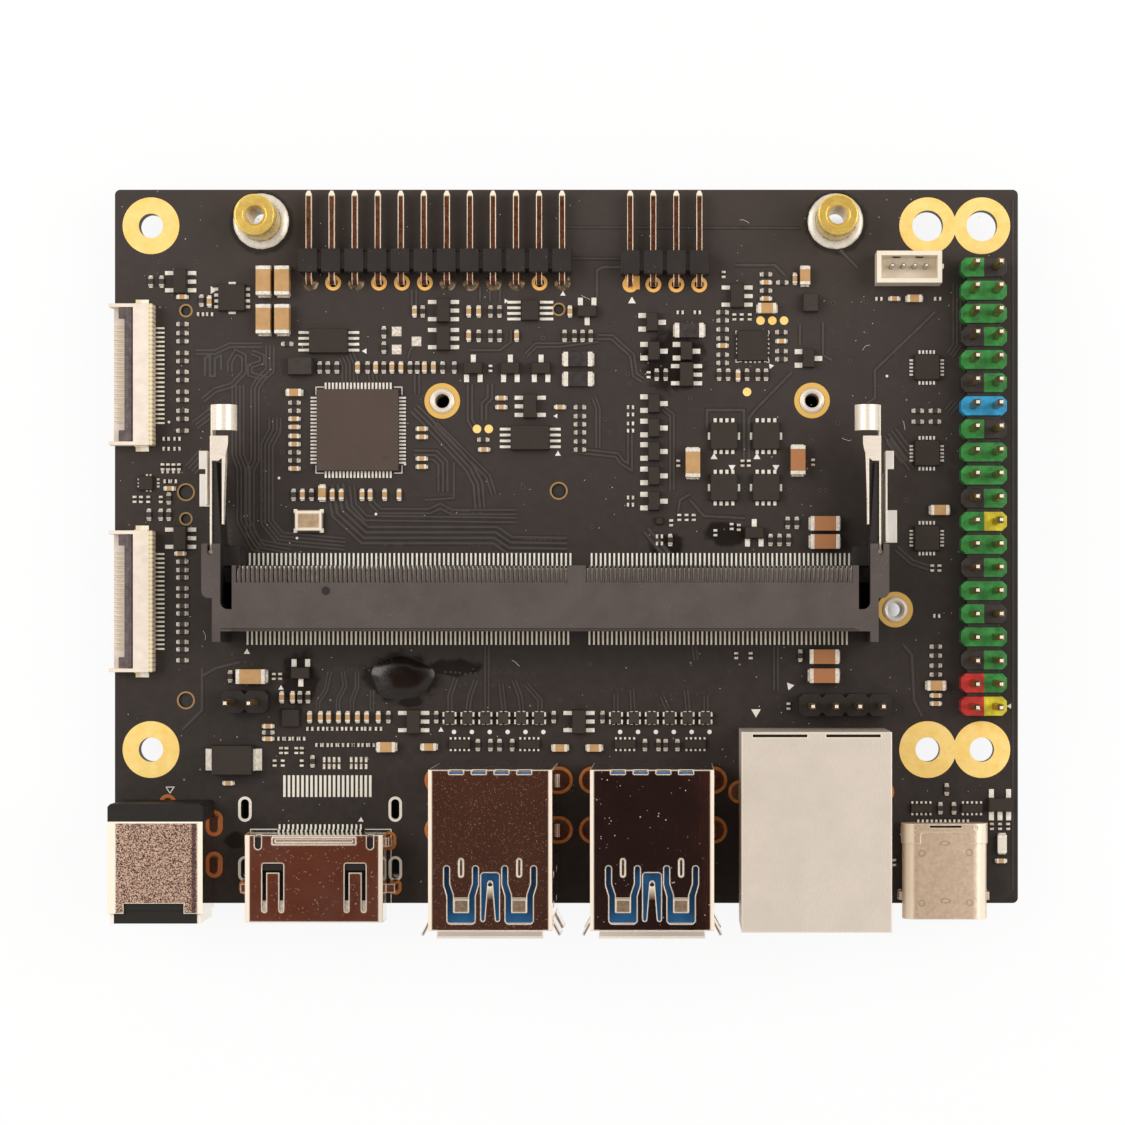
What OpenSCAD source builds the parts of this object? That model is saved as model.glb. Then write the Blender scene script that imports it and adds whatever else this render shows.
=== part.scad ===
// Carrier board: a bare circuit board that holds a plug-in computer module, with its connectors.
// The origin is on the axis of the front left mounting hole, at the board's underside.
// +X runs along the long side, +Y to the back edge and +Z up from the parts side.

/* [Board] */
// Length of the board, left to right
board_l = 100; // [99:1:120]
// Width of the board, front to back
board_w = 79; // [79:1:95]
// Thickness of the board
board_t = 1.6; // [1.2:0.1:2]
// Radius of the board's corners
corner_r = 0.6; // [0.2:0.1:2]
// Distance of the mounting holes from the side and back edges
edge_inset = 4; // [3.5:0.1:4.3]
// Distance of the front mounting holes from the front edge
front_depth = 17; // [16.5:0.1:18]
// Diameter of the small mounting holes
mount_d = 2.7; // [2.2:0.1:3]
// Diameter of the two wide mounting holes at the back right
mount_wide_d = 3.4; // [2.8:0.1:4]
// Diameter of the plated ring round a mounting hole
mount_ring_d = 6.3; // [5:0.1:6.5]
// Distance between the paired holes on the right
pair_pitch = 6; // [5.9:0.1:7]
// Thickness of the plated pads
pad_t = 0.05; // [0.03:0.01:0.1]
// Diameter of a drilled hole for a pin
pin_hole_d = 1; // [0.95:0.05:1.1]

/* [Module socket] */
// Place of the socket's middle along the board
socket_x = 44; // [43.5:0.1:44.5]
// Place of the socket's rear face
socket_y = 13.1; // [12.9:0.1:13.3]
// Length of the socket's jaws
socket_l = 67.8; // [67.6:0.1:69]
// Depth of the jaws, rear face to mouth
jaw_d = 7.15; // [6.9:0.05:7.4]
// Height of the socket
socket_h = 8; // [7.8:0.1:9]
// Thickness of the module's edge that the slot takes
module_t = 1.2; // [1:0.05:1.25]
// Height of the standoffs above the board
standoff_h = 5.7; // [5.2:0.1:5.8]
// Distance between the two standoffs
standoff_span = 63.6; // [63:0.1:64]
// Outer diameter of a standoff
standoff_d = 4.5; // [4:0.1:5.4]
// Diameter of a standoff's thread
standoff_bore = 2; // [1.6:0.1:2.2]
// Spacing of the contacts
contact_pitch = 0.5; // [0.49:0.005:0.51]
// Width of a contact
contact_w = 0.2; // [0.16:0.01:0.22]
// Contacts in the long group of each row
group_long = 72; // [60:1:72]
// Contacts in the short group of each row
group_short = 58; // [40:1:58]
// Distance across the key gap between the two groups
key_gap = 2.35; // [2.1:0.05:2.4]
// Reach of the side arms along the module
arm_reach = 18.4; // [17:0.1:19]
// Thickness of the spring metal
spring_t = 0.2; // [0.15:0.01:0.25]

/* [Pin headers] */
// Spacing of the header pins
pin_pitch = 2.54; // [2.5:0.01:2.56]
// Side of a square pin
pin_side = 0.64; // [0.5:0.01:0.66]
// Height of an upright header's plastic
header_h = 2.54; // [2:0.02:3]
// Width of a single row header's plastic
header_w = 2.5; // [2.2:0.05:2.54]
// Height of the pin tips above the board
pin_top = 8.5; // [7:0.1:12]
// Length of the pin tails below the board
pin_tail = 1.4; // [0.8:0.1:2]
// Rows in the long header
long_rows = 20; // [10:1:20]
// Pins in the wide side header
side_pins = 12; // [4:1:12]
// Pins in the narrow side header
bus_pins = 4; // [2:1:4]

/* [Camera sockets] */
// Length of a camera socket
camera_l = 15.6; // [15.2:0.1:17]
// Depth of a camera socket
camera_d = 4.5; // [4.3:0.1:4.8]
// Height of a camera socket
camera_h = 2; // [1.9:0.05:2.2]
// Ways in a camera socket
camera_ways = 22; // [15:1:22]
// Distance between the two camera sockets
camera_gap = 25; // [24:0.1:27]
// Radius of the flip latch at its hinge
flip_r = 0.45; // [0.4:0.01:0.48]

/* [Front connectors] */
// Thickness of the connector shells
shell_t = 0.3; // [0.2:0.05:0.4]
// Width of the power jack
jack_w = 10.3; // [9.5:0.05:11]
// Height of the power jack
jack_h = 8.3; // [8.2:0.1:11]
// Diameter of the power jack's mouth
jack_bore = 6.4; // [5.5:0.1:6.6]
// Diameter of the power jack's centre pin
jack_pin = 2.5; // [1.6:0.1:2.6]
// Width of the video socket
video_w = 15; // [14.6:0.1:16]
// Height of the video socket above the board
video_h = 6; // [5.8:0.1:6.4]
// Width of a stacked data socket
stack_w = 13.1; // [12.8:0.1:13.4]
// Height of a stacked data socket
stack_h = 15.6; // [15:0.1:17]
// Depth of a stacked data socket
stack_d = 17; // [16.5:0.1:17.4]
// Width of the network jack
net_w = 16; // [15.6:0.1:16.6]
// Height of the network jack
net_h = 13.4; // [13:0.1:14.5]
// Depth of the network jack
net_d = 21.3; // [20.5:0.1:22]
// Width of the oval data socket
oval_w = 9.3; // [8.9:0.1:9.6]
// Height of the oval data socket
oval_h = 3.25; // [3.1:0.05:3.5]
// Depth of the oval data socket
oval_d = 10.5; // [10:0.1:11]

/* [Card sockets] */
// Height of the card sockets below the board
card_h = 4.2; // [4:0.1:5.5]
// Length of a card socket
card_l = 21.9; // [21.5:0.1:22.4]
// Depth of a card socket
card_d = 7; // [6:0.1:8]
// Height of the card standoffs below the board
card_rise = 2.45; // [2.2:0.05:2.6]
// Thickness of a card's edge
card_edge = 0.8; // [0.7:0.05:1]

/* [Small parts] */
// Side of the hub chip
hub_side = 9; // [8:0.1:9.2]
// Height of the hub chip
hub_h = 0.9; // [0.6:0.05:1.2]
// Height of the other chips
chip_h = 0.85; // [0.6:0.05:1.2]
// Height of the large capacitors
big_cap_h = 1.6; // [1:0.1:1.9]

/* [Hidden] */
$fn = 32;

// Edges of the board and the holes that the rest is placed from
left_x = -edge_inset;
right_x = board_l - edge_inset;
front_y = -front_depth;
back_y = board_w - front_depth;
far_hole_x = right_x - edge_inset;
near_hole_x = far_hole_x - pair_pitch;
back_hole_y = back_y - edge_inset;
top = board_t;
// Drift of the right and back edges from the standard board, which carries the small parts there
slide_x = right_x - 96;
slide_y = back_y - 62;
fit = 0.02;

// A block from its low corner, with its base at height z
module block(x, y, z, l, w, h) {
    translate([x, y, z]) cube([l, w, h]);
}

// A block round a middle point, with its base at height z
module mid_block(x, y, z, l, w, h) {
    translate([x - l / 2, y - w / 2, z]) cube([l, w, h]);
}

// A drawing in Y and Z, pushed along X
module along_x(x, l) {
    translate([x, 0, 0]) rotate([90, 0, 90]) linear_extrude(l) children();
}

// A drawing in X and Z, pushed along Y
module along_y(y, l) {
    translate([0, y + l, 0]) rotate([90, 0, 0]) linear_extrude(l) children();
}

// A rectangle with true round corners
module round_rect(l, w, r) {
    translate([r, 0]) square([l - 2 * r, w]);
    translate([0, r]) square([l, w - 2 * r]);
    for (x = [r, l - r], y = [r, w - r]) translate([x, y]) circle(r);
}

// A slot with round ends, l long along Y over all
module slot(w, l) {
    translate([-w / 2, -(l - w) / 2]) square([w, l - w]);
    for (s = [-1, 1]) translate([0, s * (l - w) / 2]) circle(w / 2);
}

// Places
mount_small = [[0, 0], [0, back_hole_y], [near_hole_x, 0], [far_hole_x, 0]];
mount_wide = [[near_hole_x, back_hole_y], [far_hole_x, back_hole_y]];
standoff_y = back_y - 3.5;
standoff_at = [for (s = [-1, 1]) [socket_x + s * standoff_span / 2, standoff_y]];
card_peg_x = [3.87, 3.87, 45.15];
card_mid_y = [38.55, 15.5, 38.7];
card_post_at = [[32.25, 38.6], [82.4, 15.5], [73.2, 38.65]];
card_peg_gap = 20.1;
header_x = far_hole_x;
header_y = back_hole_y / 2;
side_x = 31.6;
side_y = back_y - 10.3;
bus_x = 56.9;
bus_y = back_y - 10.5;
jumper_at = [10.7, 5.35];
fan_at = [83.73 + slide_x, 53.07 + slide_y];
fan_pitch = 1.25;
camera_mid_y = 28.9;
camera_y = [camera_mid_y + camera_gap / 2, camera_mid_y - camera_gap / 2];
jack_x = 1.85;
video_x = 18.75;
stack_x = [38.5, 55.6];
net_x = 73.1;
oval_x = 87.7 + slide_x;

// Front connectors stand out over the front edge by these lengths
jack_out = 1.5;
video_out = 1.55;
stack_out = 1.5;
net_out = 1.9;
oval_out = 1.5;
debug_at = [76.75, front_y - net_out + net_d + 2.6];

// Where their legs go through the board
jack_side = (jack_w - shell_t) / 2;
jack_legs = [
    [jack_x, front_y + 10.3],
    [jack_x + jack_side, front_y + 8.83],
    [jack_x + jack_side, front_y + 4.25]
];
video_legs = [for (s = [-1, 1], leg = [[0.85, 1.85], [0.2, 6.9]])
    [video_x + s * (video_w / 2 + leg[0]), front_y + leg[1]]];
spare_slots = [for (x = [10.4, 27.05], y = [3.8, 10.4]) [x, front_y + y]];
stack_leg_y = [front_y + 8.1, front_y + 13.6];
stack_leg_x = stack_w / 2 + 0.1;
net_legs = [for (s = [-1, 1]) [net_x + s * (net_w / 2 - 0.1), front_y + 12.3]];
oval_front_legs = [for (s = [-1, 1]) [oval_x + s * (oval_w / 2 + 0.15), front_y + 0.95]];
oval_rear_legs = [for (s = [-1, 1]) [oval_x + s * (oval_w / 2 - 0.15), front_y + 8]];

module circuit_board() {
    color([0.24, 0.21, 0.2]) linear_extrude(board_t) difference() {
        translate([left_x, front_y]) round_rect(board_l, board_w, corner_r);
        for (p = mount_small) translate(p) circle(d = mount_d);
        for (p = mount_wide) translate(p) circle(d = mount_wide_d);
        for (p = standoff_at) translate(p) circle(d = standoff_shank + 2 * fit);
        for (p = card_post_at) translate(p) circle(d = card_shank + 2 * fit);
        for (i = [0:2], s = [-1, 1])
            translate([card_peg_x[i], card_mid_y[i] + s * card_peg_gap / 2]) circle(d = s > 0 ? 1.1 : 1.6);
        for (p = long_header_at) translate(p) circle(d = pin_hole_d);
        for (p = concat(side_at, bus_at, debug_pins_at, jumper_pins_at))
            translate(p) circle(d = pin_hole_d);
        for (p = fan_pins_at) translate(p) circle(d = 0.6);
        for (p = jack_legs) translate(p) slot(1, 2.1);
        for (p = video_legs) translate(p) slot(0.7, 1.4);
        for (p = spare_slots) translate(p) slot(0.9, 2.2);
        for (x = stack_x, s = [-1, 1], y = stack_leg_y) translate([x + s * stack_leg_x, y]) circle(d = 2);
        for (x = stack_x, p = stack_tails(x)) translate(p) circle(d = 0.8);
        for (p = net_tails) translate(p) circle(d = 0.9);
        for (p = net_legs) translate(p) circle(d = 1.8);
        for (p = concat(oval_front_legs, oval_rear_legs)) translate(p) slot(0.5, 1.2);
    }
}

// Plated pads, each a flat ring or field on the board's face
module ring(p, outer, inner) {
    translate([p[0], p[1], top]) linear_extrude(pad_t) difference() {
        circle(d = outer);
        circle(d = inner);
    }
}

module plated_pads() {
    color([0.93, 0.78, 0.42]) {
        for (p = [mount_small[0], mount_small[1]]) ring(p, mount_ring_d, mount_d);
        for (y = [0, back_hole_y])
            translate([near_hole_x, y, top]) linear_extrude(pad_t) difference() {
                union() {
                    circle(d = mount_ring_d);
                    translate([pair_pitch, 0]) circle(d = mount_ring_d);
                }
                circle(d = y > 0 ? mount_wide_d : mount_d);
                translate([pair_pitch, 0]) circle(d = y > 0 ? mount_wide_d : mount_d);
            }
        for (p = card_post_at) ring(p, 3.95, card_shank + 2 * fit);
        for (i = [0:2]) {
            ring([card_peg_x[i], card_mid_y[i] + card_peg_gap / 2], 1.5, 1.1);
            ring([card_peg_x[i], card_mid_y[i] - card_peg_gap / 2], 2, 1.6);
        }
        for (p = concat(side_at, bus_at)) ring(p, 1.75, pin_hole_d);
        for (p = test_points) translate([p[0], p[1], top]) cylinder(d = 0.95, h = pad_t);
        for (p = spare_slots) translate([p[0], p[1], top]) linear_extrude(pad_t) difference() {
            slot(1.5, 2.8);
            slot(0.9, 2.2);
        }
        for (i = [0:19]) mid_block(14.78 + 0.5 * i, front_y + 12.95, top, 0.28, 2.4, pad_t);
    }
}
test_points = [[36.1, 35.5], [37.4, 35.5], [67.5, 47.5], [68.8, 47.5], [70.1, 47.5], [66, 39.6]];

// Brass standoffs that the module is screwed to
standoff_shank = 3.2;
standoff_chamfer = 0.3;
module module_standoffs() {
    color([0.84, 0.67, 0.25]) for (p = standoff_at) translate([p[0], p[1], 0]) rotate_extrude() polygon([
        [standoff_bore / 2, 0],
        [standoff_shank / 2, 0],
        [standoff_shank / 2, top],
        [standoff_d / 2, top],
        [standoff_d / 2, top + standoff_h - 0.15],
        [standoff_d / 2 - 0.15, top + standoff_h],
        [standoff_bore / 2 + standoff_chamfer, top + standoff_h],
        [standoff_bore / 2, top + standoff_h - standoff_chamfer]
    ]);
}

// Module socket: two jaws with a slot between them, and an arm at each end
jaw_front = socket_y + jaw_d;
slot_floor = standoff_h;
slot_roof = standoff_h + module_t + 0.05;
slot_back = socket_y + 1.6;
window_back = jaw_front - 1.85;
beam_t = 0.2;
upper_beam = slot_roof + 0.3;
lower_beam = slot_floor - 0.4;
riser_y = socket_y + 0.45;
tail_t = 0.15;
foot_gap = 0.3;
contact_span = (group_long + group_short - 2) * contact_pitch + key_gap;
function row_at(shift) = [
    for (i = [0:group_long + group_short - 1])
        socket_x + shift - contact_span / 2 + i * contact_pitch
            + (i < group_long ? 0 : key_gap - contact_pitch)
];
front_row = row_at(contact_pitch / 4);
rear_row = row_at(-contact_pitch / 4);
key_x = socket_x - contact_span / 2 + (group_long - 1) * contact_pitch + key_gap / 2;

// A comb outline: teeth of width w from root to tip, joined by a spine from back to root
module comb(row, w, back, root, tip) {
    last = row[len(row) - 1];
    polygon(concat(
        [[row[0] - w, back], [row[0] - w, root]],
        [for (x = row) each [[x - w / 2, root], [x - w / 2, tip], [x + w / 2, tip], [x + w / 2, root]]],
        [[last + w, root], [last + w, back]]
    ));
}

module jaws() {
    along_x(socket_x - socket_l / 2, socket_l) polygon([
        [socket_y, top + foot_gap],
        [socket_y, top + socket_h - 0.2],
        [socket_y + 0.2, top + socket_h],
        [jaw_front, top + socket_h],
        [jaw_front, top + slot_roof + 0.3],
        [jaw_front - 0.3, top + slot_roof],
        [slot_back, top + slot_roof],
        [slot_back, top + slot_floor],
        [jaw_front - 0.3, top + slot_floor],
        [jaw_front, top + slot_floor - 0.3],
        [jaw_front, top + foot_gap]
    ]);
}

arm_w = 0.9;
arm_gap = 1.25;
arm_x = socket_x - socket_l / 2 - arm_gap - arm_w;
lobe_w = 1.15;
lobe_front = jaw_front + 2.35;
lobe_back = lobe_front - 5.9;
arm_tip = socket_y + arm_reach;
arm_rear = socket_y - 1.15;
hinge_y = lobe_front - 0.9;
hinge_eye_r = 0.25;
blade_x = arm_x - 0.1 - spring_t;
latch_low = 3;
latch_high = socket_h - 0.6;
arm_tip_w = 0.35;

// The left arm, its lobe that seats the latch, and the web that ties it to the jaws
module arm() {
    jaw_x = arm_x + arm_w + arm_gap;
    difference() {
        union() {
            translate([0, 0, top + foot_gap]) linear_extrude(socket_h - foot_gap) {
                translate([arm_x, arm_rear]) square([arm_w, lobe_front - arm_rear]);
                translate([arm_x - lobe_w, lobe_back + 0.8]) square([lobe_w, lobe_front - lobe_back - 0.8]);
                translate([arm_x - lobe_w + 0.8, lobe_back]) square([lobe_w - 0.8, 0.8]);
                translate([arm_x - lobe_w + 0.8, lobe_back + 0.8]) circle(0.8);
            }
            translate([0, 0, top + foot_gap]) linear_extrude(socket_h - foot_gap) difference() {
                translate([arm_x + arm_w, socket_y]) square([arm_gap, 3.2]);
                translate([arm_x + arm_w + 0.8, socket_y + 3.2]) circle(0.8);
                translate([arm_x + arm_w + 0.8, socket_y + 2.4]) square([arm_gap - 0.8, 0.8]);
            }
            translate([0, 0, top + 2.2]) linear_extrude(latch_high - 2.5) polygon([
                [arm_x, lobe_front],
                [arm_x, arm_tip],
                [arm_x + arm_tip_w, arm_tip],
                [arm_x + arm_w, lobe_front]
            ]);
            block(arm_x + arm_w, jaw_front - 1.85, top + foot_gap, arm_gap, 4, 4.2);
            block(arm_x + arm_w, jaw_front, top + foot_gap, arm_gap + 0.45, 2.1, 5);
        }
        translate([blade_x + spring_t / 2, hinge_y, top + latch_low - fit])
            cylinder(r = hinge_eye_r + 0.05, h = socket_h);
        block(blade_x - 0.2, hinge_y, top + latch_low - fit, spring_t + 0.3, 1.5, socket_h);
    }
    block(jaw_x - 0.3, socket_y, top + foot_gap, 0.35, 2, 4);
}

module socket_housing() {
    slit = contact_w + 2 * fit;
    color([0.2, 0.19, 0.18]) {
        difference() {
            union() {
                jaws();
                arm();
                translate([2 * socket_x, 0, 0]) mirror([1, 0, 0]) arm();
                block(key_x - 0.45, slot_back, top + slot_floor - 0.5, 0.9, jaw_front - slot_back, module_t + 1.2);
            }
            translate([0, 0, top + slot_roof - 0.1]) linear_extrude(socket_h)
                comb(rear_row, 0.3, jaw_front + 1, jaw_front + 0.3, window_back);
            translate([0, 0, top + upper_beam - fit]) linear_extrude(beam_t + 2 * fit)
                comb(rear_row, slit, jaw_front + 1, jaw_front + 0.3, riser_y - fit);
            along_y(riser_y - fit, beam_t + 2 * fit)
                comb(rear_row, slit, -1, top - 0.5, top + upper_beam + beam_t + fit);
            along_y(jaw_front - 0.3, 1)
                comb(front_row, slit, -1, top - 0.5, top + slot_floor + fit);
            translate([0, 0, top + lower_beam - fit]) linear_extrude(slot_floor - lower_beam + 0.1)
                comb(front_row, slit, jaw_front + 1, jaw_front + 0.3, slot_back + 0.5);
            translate([socket_x - 25.2, jaw_front - 1.4, top + socket_h - 0.15]) cylinder(d = 1, h = 1);
        }
    }
}

// Each upper contact rises inside the rear wall and runs forward over the slot to a bent tip
module socket_upper_contacts() {
    tip = jaw_front - 0.1;
    color([0.8, 0.66, 0.42]) for (x = rear_row) along_x(x - contact_w / 2, contact_w) translate([0, top]) polygon([
        [socket_y - 1.5, 0],
        [riser_y + beam_t, 0],
        [riser_y + beam_t, upper_beam],
        [tip - 0.75, upper_beam],
        [tip - 0.45, slot_roof - 0.35],
        [tip - 0.2, slot_roof - 0.35],
        [tip - 0.5, upper_beam + beam_t],
        [riser_y, upper_beam + beam_t],
        [riser_y, tail_t],
        [socket_y - 1.5, tail_t]
    ]);
}

// Each lower contact rises in the front face and runs back under the module to a raised tip
module socket_lower_contacts() {
    face = jaw_front - 0.05;
    color([0.86, 0.8, 0.7]) for (x = front_row) along_x(x - contact_w / 2, contact_w) translate([0, top]) polygon([
        [face + 1.55, 0],
        [face + 1.55, tail_t],
        [face, tail_t],
        [face, lower_beam + beam_t],
        [slot_back + 1.8, lower_beam + beam_t],
        [slot_back + 1.3, slot_floor + 0.25],
        [slot_back + 1.05, slot_floor + 0.25],
        [slot_back + 1.5, lower_beam],
        [face - beam_t, lower_beam],
        [face - beam_t, 0]
    ]);
}

// The left latch: a rolled eye, a blade beside the arm, a catch over the module and a finger roll
finger_y = arm_tip + 3.4;
finger_l = 2.8;
finger_r = 1.4;
catch_in = 9.6 - 7.65;
module latch() {
    flange_x = arm_x + arm_w + 0.1;
    roll_x = blade_x + finger_r;
    roll_z = top + socket_h - 0.3 - finger_r;
    translate([0, 0, top]) {
        translate([blade_x + spring_t / 2, hinge_y, latch_low])
            cylinder(r = hinge_eye_r, h = latch_high - latch_low);
        block(blade_x, hinge_y, latch_low, spring_t, arm_tip + 2.8 - hinge_y, latch_high - latch_low);
        block(blade_x, arm_tip, 4.6, spring_t, finger_y + finger_l - arm_tip, latch_high - 5.2);
        translate([0, 0, latch_high - spring_t]) linear_extrude(spring_t) polygon([
            [blade_x, arm_tip + 0.1],
            [blade_x + 0.9, arm_tip + 0.1],
            [blade_x + 1.6, arm_tip + 0.6],
            [blade_x + catch_in - 0.1, arm_tip + 1.4],
            [blade_x + catch_in, arm_tip + 2],
            [blade_x + catch_in, arm_tip + 2.8],
            [blade_x, arm_tip + 2.8]
        ]);
        translate([0, 0, latch_high - spring_t]) linear_extrude(spring_t) polygon([
            [flange_x, hinge_y + 3],
            [flange_x + 0.1, hinge_y + 3],
            [blade_x + 1.7, arm_tip + 1],
            [flange_x, arm_tip + 1]
        ]);
        along_x(flange_x, spring_t) polygon([
            [hinge_y + 3, latch_high],
            [hinge_y + 3, latch_high - 0.8],
            [arm_tip, latch_high - 2.6],
            [arm_tip + 1.4, latch_high - 2.6],
            [arm_tip + 1.4, latch_high]
        ]);
    }
    translate([roll_x, finger_y + finger_l, roll_z]) rotate([90, 0, 0]) difference() {
        cylinder(r = finger_r, h = finger_l);
        translate([0, 0, -1]) cylinder(r = finger_r - spring_t, h = finger_l + 2);
        translate([-2 * finger_r, -2 * finger_r, -1]) cube([4 * finger_r, 2 * finger_r, finger_l + 2]);
    }
}

module socket_latch_left() {
    color([0.8, 0.78, 0.75]) latch();
}

module socket_latch_right() {
    color([0.8, 0.78, 0.75]) translate([2 * socket_x, 0, 0]) mirror([1, 0, 0]) latch();
}

// Solder anchors beside each arm, which also stop the latch from being pulled too far
anchor_back = [4.6, 8.6];
module anchor(back) {
    inner = blade_x - 0.85;
    block(inner - 1.4, arm_tip - back, top, 1.4 + spring_t, 3.6, 0.2);
    block(inner, arm_tip - back, top, spring_t, back - 1, 5);
    block(inner, arm_tip - 1.1, top + 2, spring_t, 2.4, 3);
    block(inner - 0.7, arm_tip - 0.7, top + 4.8, 0.7 + spring_t, 2, 0.2);
}

module socket_anchors() {
    color([0.86, 0.84, 0.8]) {
        anchor(anchor_back[0]);
        translate([2 * socket_x, 0, 0]) mirror([1, 0, 0]) anchor(anchor_back[1]);
    }
}

// A square pin with a bevelled tip at each end, from low to high
module square_pin(p, low, high) {
    tip = 0.35;
    half = pin_side / 2;
    inner = half - 0.15;
    outline = [
        [-inner, low], [-half, low + tip], [-half, high - tip], [-inner, high],
        [inner, high], [half, high - tip], [half, low + tip], [inner, low]
    ];
    translate([p[0], p[1], 0]) intersection() {
        along_x(-half, pin_side) polygon(outline);
        along_y(-half, pin_side) polygon(outline);
    }
}

// Long header: two columns of pins in moulded cells, each cell its own colour
cell_l = 2.1;
cell_w = 2.5;
cell_cut = 0.5;
column_x = [header_x - pin_pitch / 2, header_x + pin_pitch / 2];
function row_y(i) = header_y - (long_rows - 1) * pin_pitch / 2 + i * pin_pitch;
long_header_at = [for (x = column_x, i = [0:long_rows - 1]) [x, row_y(i)]];
// Pins count from the front: odd numbers in the right column and even numbers in the left
black_pins = [6, 9, 14, 20, 25, 30, 34, 39];
blue_pins = [27, 28];
red_pins = [2, 4];
yellow_pins = [1, 17];
function among(n, list) = len(search(n, list)) > 0;
function is_green(n) = !among(n, black_pins) && !among(n, blue_pins) && !among(n, red_pins)
    && !among(n, yellow_pins);

module cell(n) {
    i = floor((n - 1) / 2);
    side = n % 2 == 1 ? 1 : -1;
    translate([header_x, row_y(i), top]) mirror([side > 0 ? 0 : 1, 0, 0]) linear_extrude(header_h) difference() {
        polygon([
            [0, -cell_l / 2],
            [cell_w - cell_cut, -cell_l / 2],
            [cell_w, -cell_l / 2 + cell_cut],
            [cell_w, cell_l / 2 - cell_cut],
            [cell_w - cell_cut, cell_l / 2],
            [0, cell_l / 2]
        ]);
        translate([(pin_pitch - pin_side) / 2, -pin_side / 2]) square(pin_side);
    }
}

module header_cells_green() {
    color([0.22, 0.62, 0.27]) for (n = [1:2 * long_rows]) if (is_green(n)) cell(n);
}

module header_cells_black() {
    bridge = pin_pitch - cell_l;
    color([0.16, 0.15, 0.14]) {
        for (n = black_pins) if (n <= 2 * long_rows) cell(n);
        for (i = [0:long_rows - 2])
            mid_block(header_x, row_y(i) + pin_pitch / 2, top, 3.6, bridge, header_h - 0.35);
    }
}

module header_cells_blue() {
    color([0.16, 0.58, 0.84]) for (n = blue_pins) if (n <= 2 * long_rows) cell(n);
}

module header_cells_red() {
    color([0.84, 0.2, 0.14]) for (n = red_pins) cell(n);
}

module header_cells_yellow() {
    color([0.86, 0.84, 0.18]) for (n = yellow_pins) if (n <= 2 * long_rows) cell(n);
}

module long_header_pins() {
    color([0.83, 0.72, 0.5]) for (p = long_header_at) square_pin(p, -pin_tail, top + pin_top);
}

// Side headers: pins come up behind the plastic and turn forward over the back edge
side_body = 2.54;
side_gap = 0.95;
bend_z = 0.95;
side_cell = 2.05;
function line_at(x, y, n) = [for (i = [0:n - 1]) [x + (i - (n - 1) / 2) * pin_pitch, y]];
side_at = line_at(side_x, side_y, side_pins);
bus_at = line_at(bus_x, bus_y, bus_pins);

module turned_body(places) {
    y = places[0][1] + side_gap;
    first = places[0][0];
    last = places[len(places) - 1][0];
    difference() {
        union() {
            for (p = places) mid_block(p[0], y + side_body / 2, top, side_cell, side_body, header_h);
            block(first, y + 0.35, top, last - first, side_body - 0.7, header_h - 0.3);
        }
        for (p = places)
            mid_block(p[0], y + side_body / 2, top + bend_z, pin_side, side_body + 1, pin_side);
    }
}

module turned_pins(places) {
    half = pin_side / 2;
    tip_y = back_y - 0.3;
    for (p = places) intersection() {
        along_x(p[0] - half, pin_side) polygon([
            [p[1] - half, -pin_tail],
            [p[1] + half, -pin_tail],
            [p[1] + half, top + bend_z],
            [tip_y - 0.4, top + bend_z],
            [tip_y, top + bend_z + 0.15],
            [tip_y, top + bend_z + pin_side - 0.15],
            [tip_y - 0.4, top + bend_z + pin_side],
            [p[1] + 0.1, top + bend_z + pin_side],
            [p[1] - half, top + bend_z + 0.2]
        ]);
        translate([p[0], 0, -5]) linear_extrude(20) polygon([
            [-half, p[1] - 1], [half, p[1] - 1], [half, tip_y - 0.4], [half - 0.17, tip_y],
            [-half + 0.17, tip_y], [-half, tip_y - 0.4]
        ]);
    }
}

module side_header_body() {
    color([0.14, 0.13, 0.13]) turned_body(side_at);
}

module side_header_pins() {
    color([0.8, 0.66, 0.5]) turned_pins(side_at);
}

module bus_header_body() {
    color([0.14, 0.13, 0.13]) turned_body(bus_at);
}

module bus_header_pins() {
    color([0.8, 0.66, 0.5]) turned_pins(bus_at);
}

// Upright single row headers, with an eight sided cell round each pin
debug_pins_at = line_at(debug_at[0], debug_at[1], 4);
jumper_pins_at = line_at(jumper_at[0], jumper_at[1], 2);

module upright_body(places) {
    a = pin_pitch / 2;
    b = header_w / 2;
    c = 0.45;
    linear = [
        [-a, -b + c], [-a + c, -b], [a - c, -b], [a, -b + c],
        [a, b - c], [a - c, b], [-a + c, b], [-a, b - c]
    ];
    translate([0, 0, top]) linear_extrude(header_h) difference() {
        for (p = places) translate(p) polygon(linear);
        for (p = places) translate(p) square(pin_side, center = true);
    }
}

module debug_header_body() {
    color([0.14, 0.13, 0.12]) upright_body(debug_pins_at);
}

module debug_header_pins() {
    color([0.83, 0.72, 0.5]) for (p = debug_pins_at) square_pin(p, -pin_tail, top + pin_top);
}

module jumper_header_body() {
    color([0.14, 0.13, 0.12]) upright_body(jumper_pins_at);
}

module jumper_header_pins() {
    color([0.83, 0.72, 0.5]) for (p = jumper_pins_at) square_pin(p, -pin_tail, top + pin_top);
}

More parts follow.
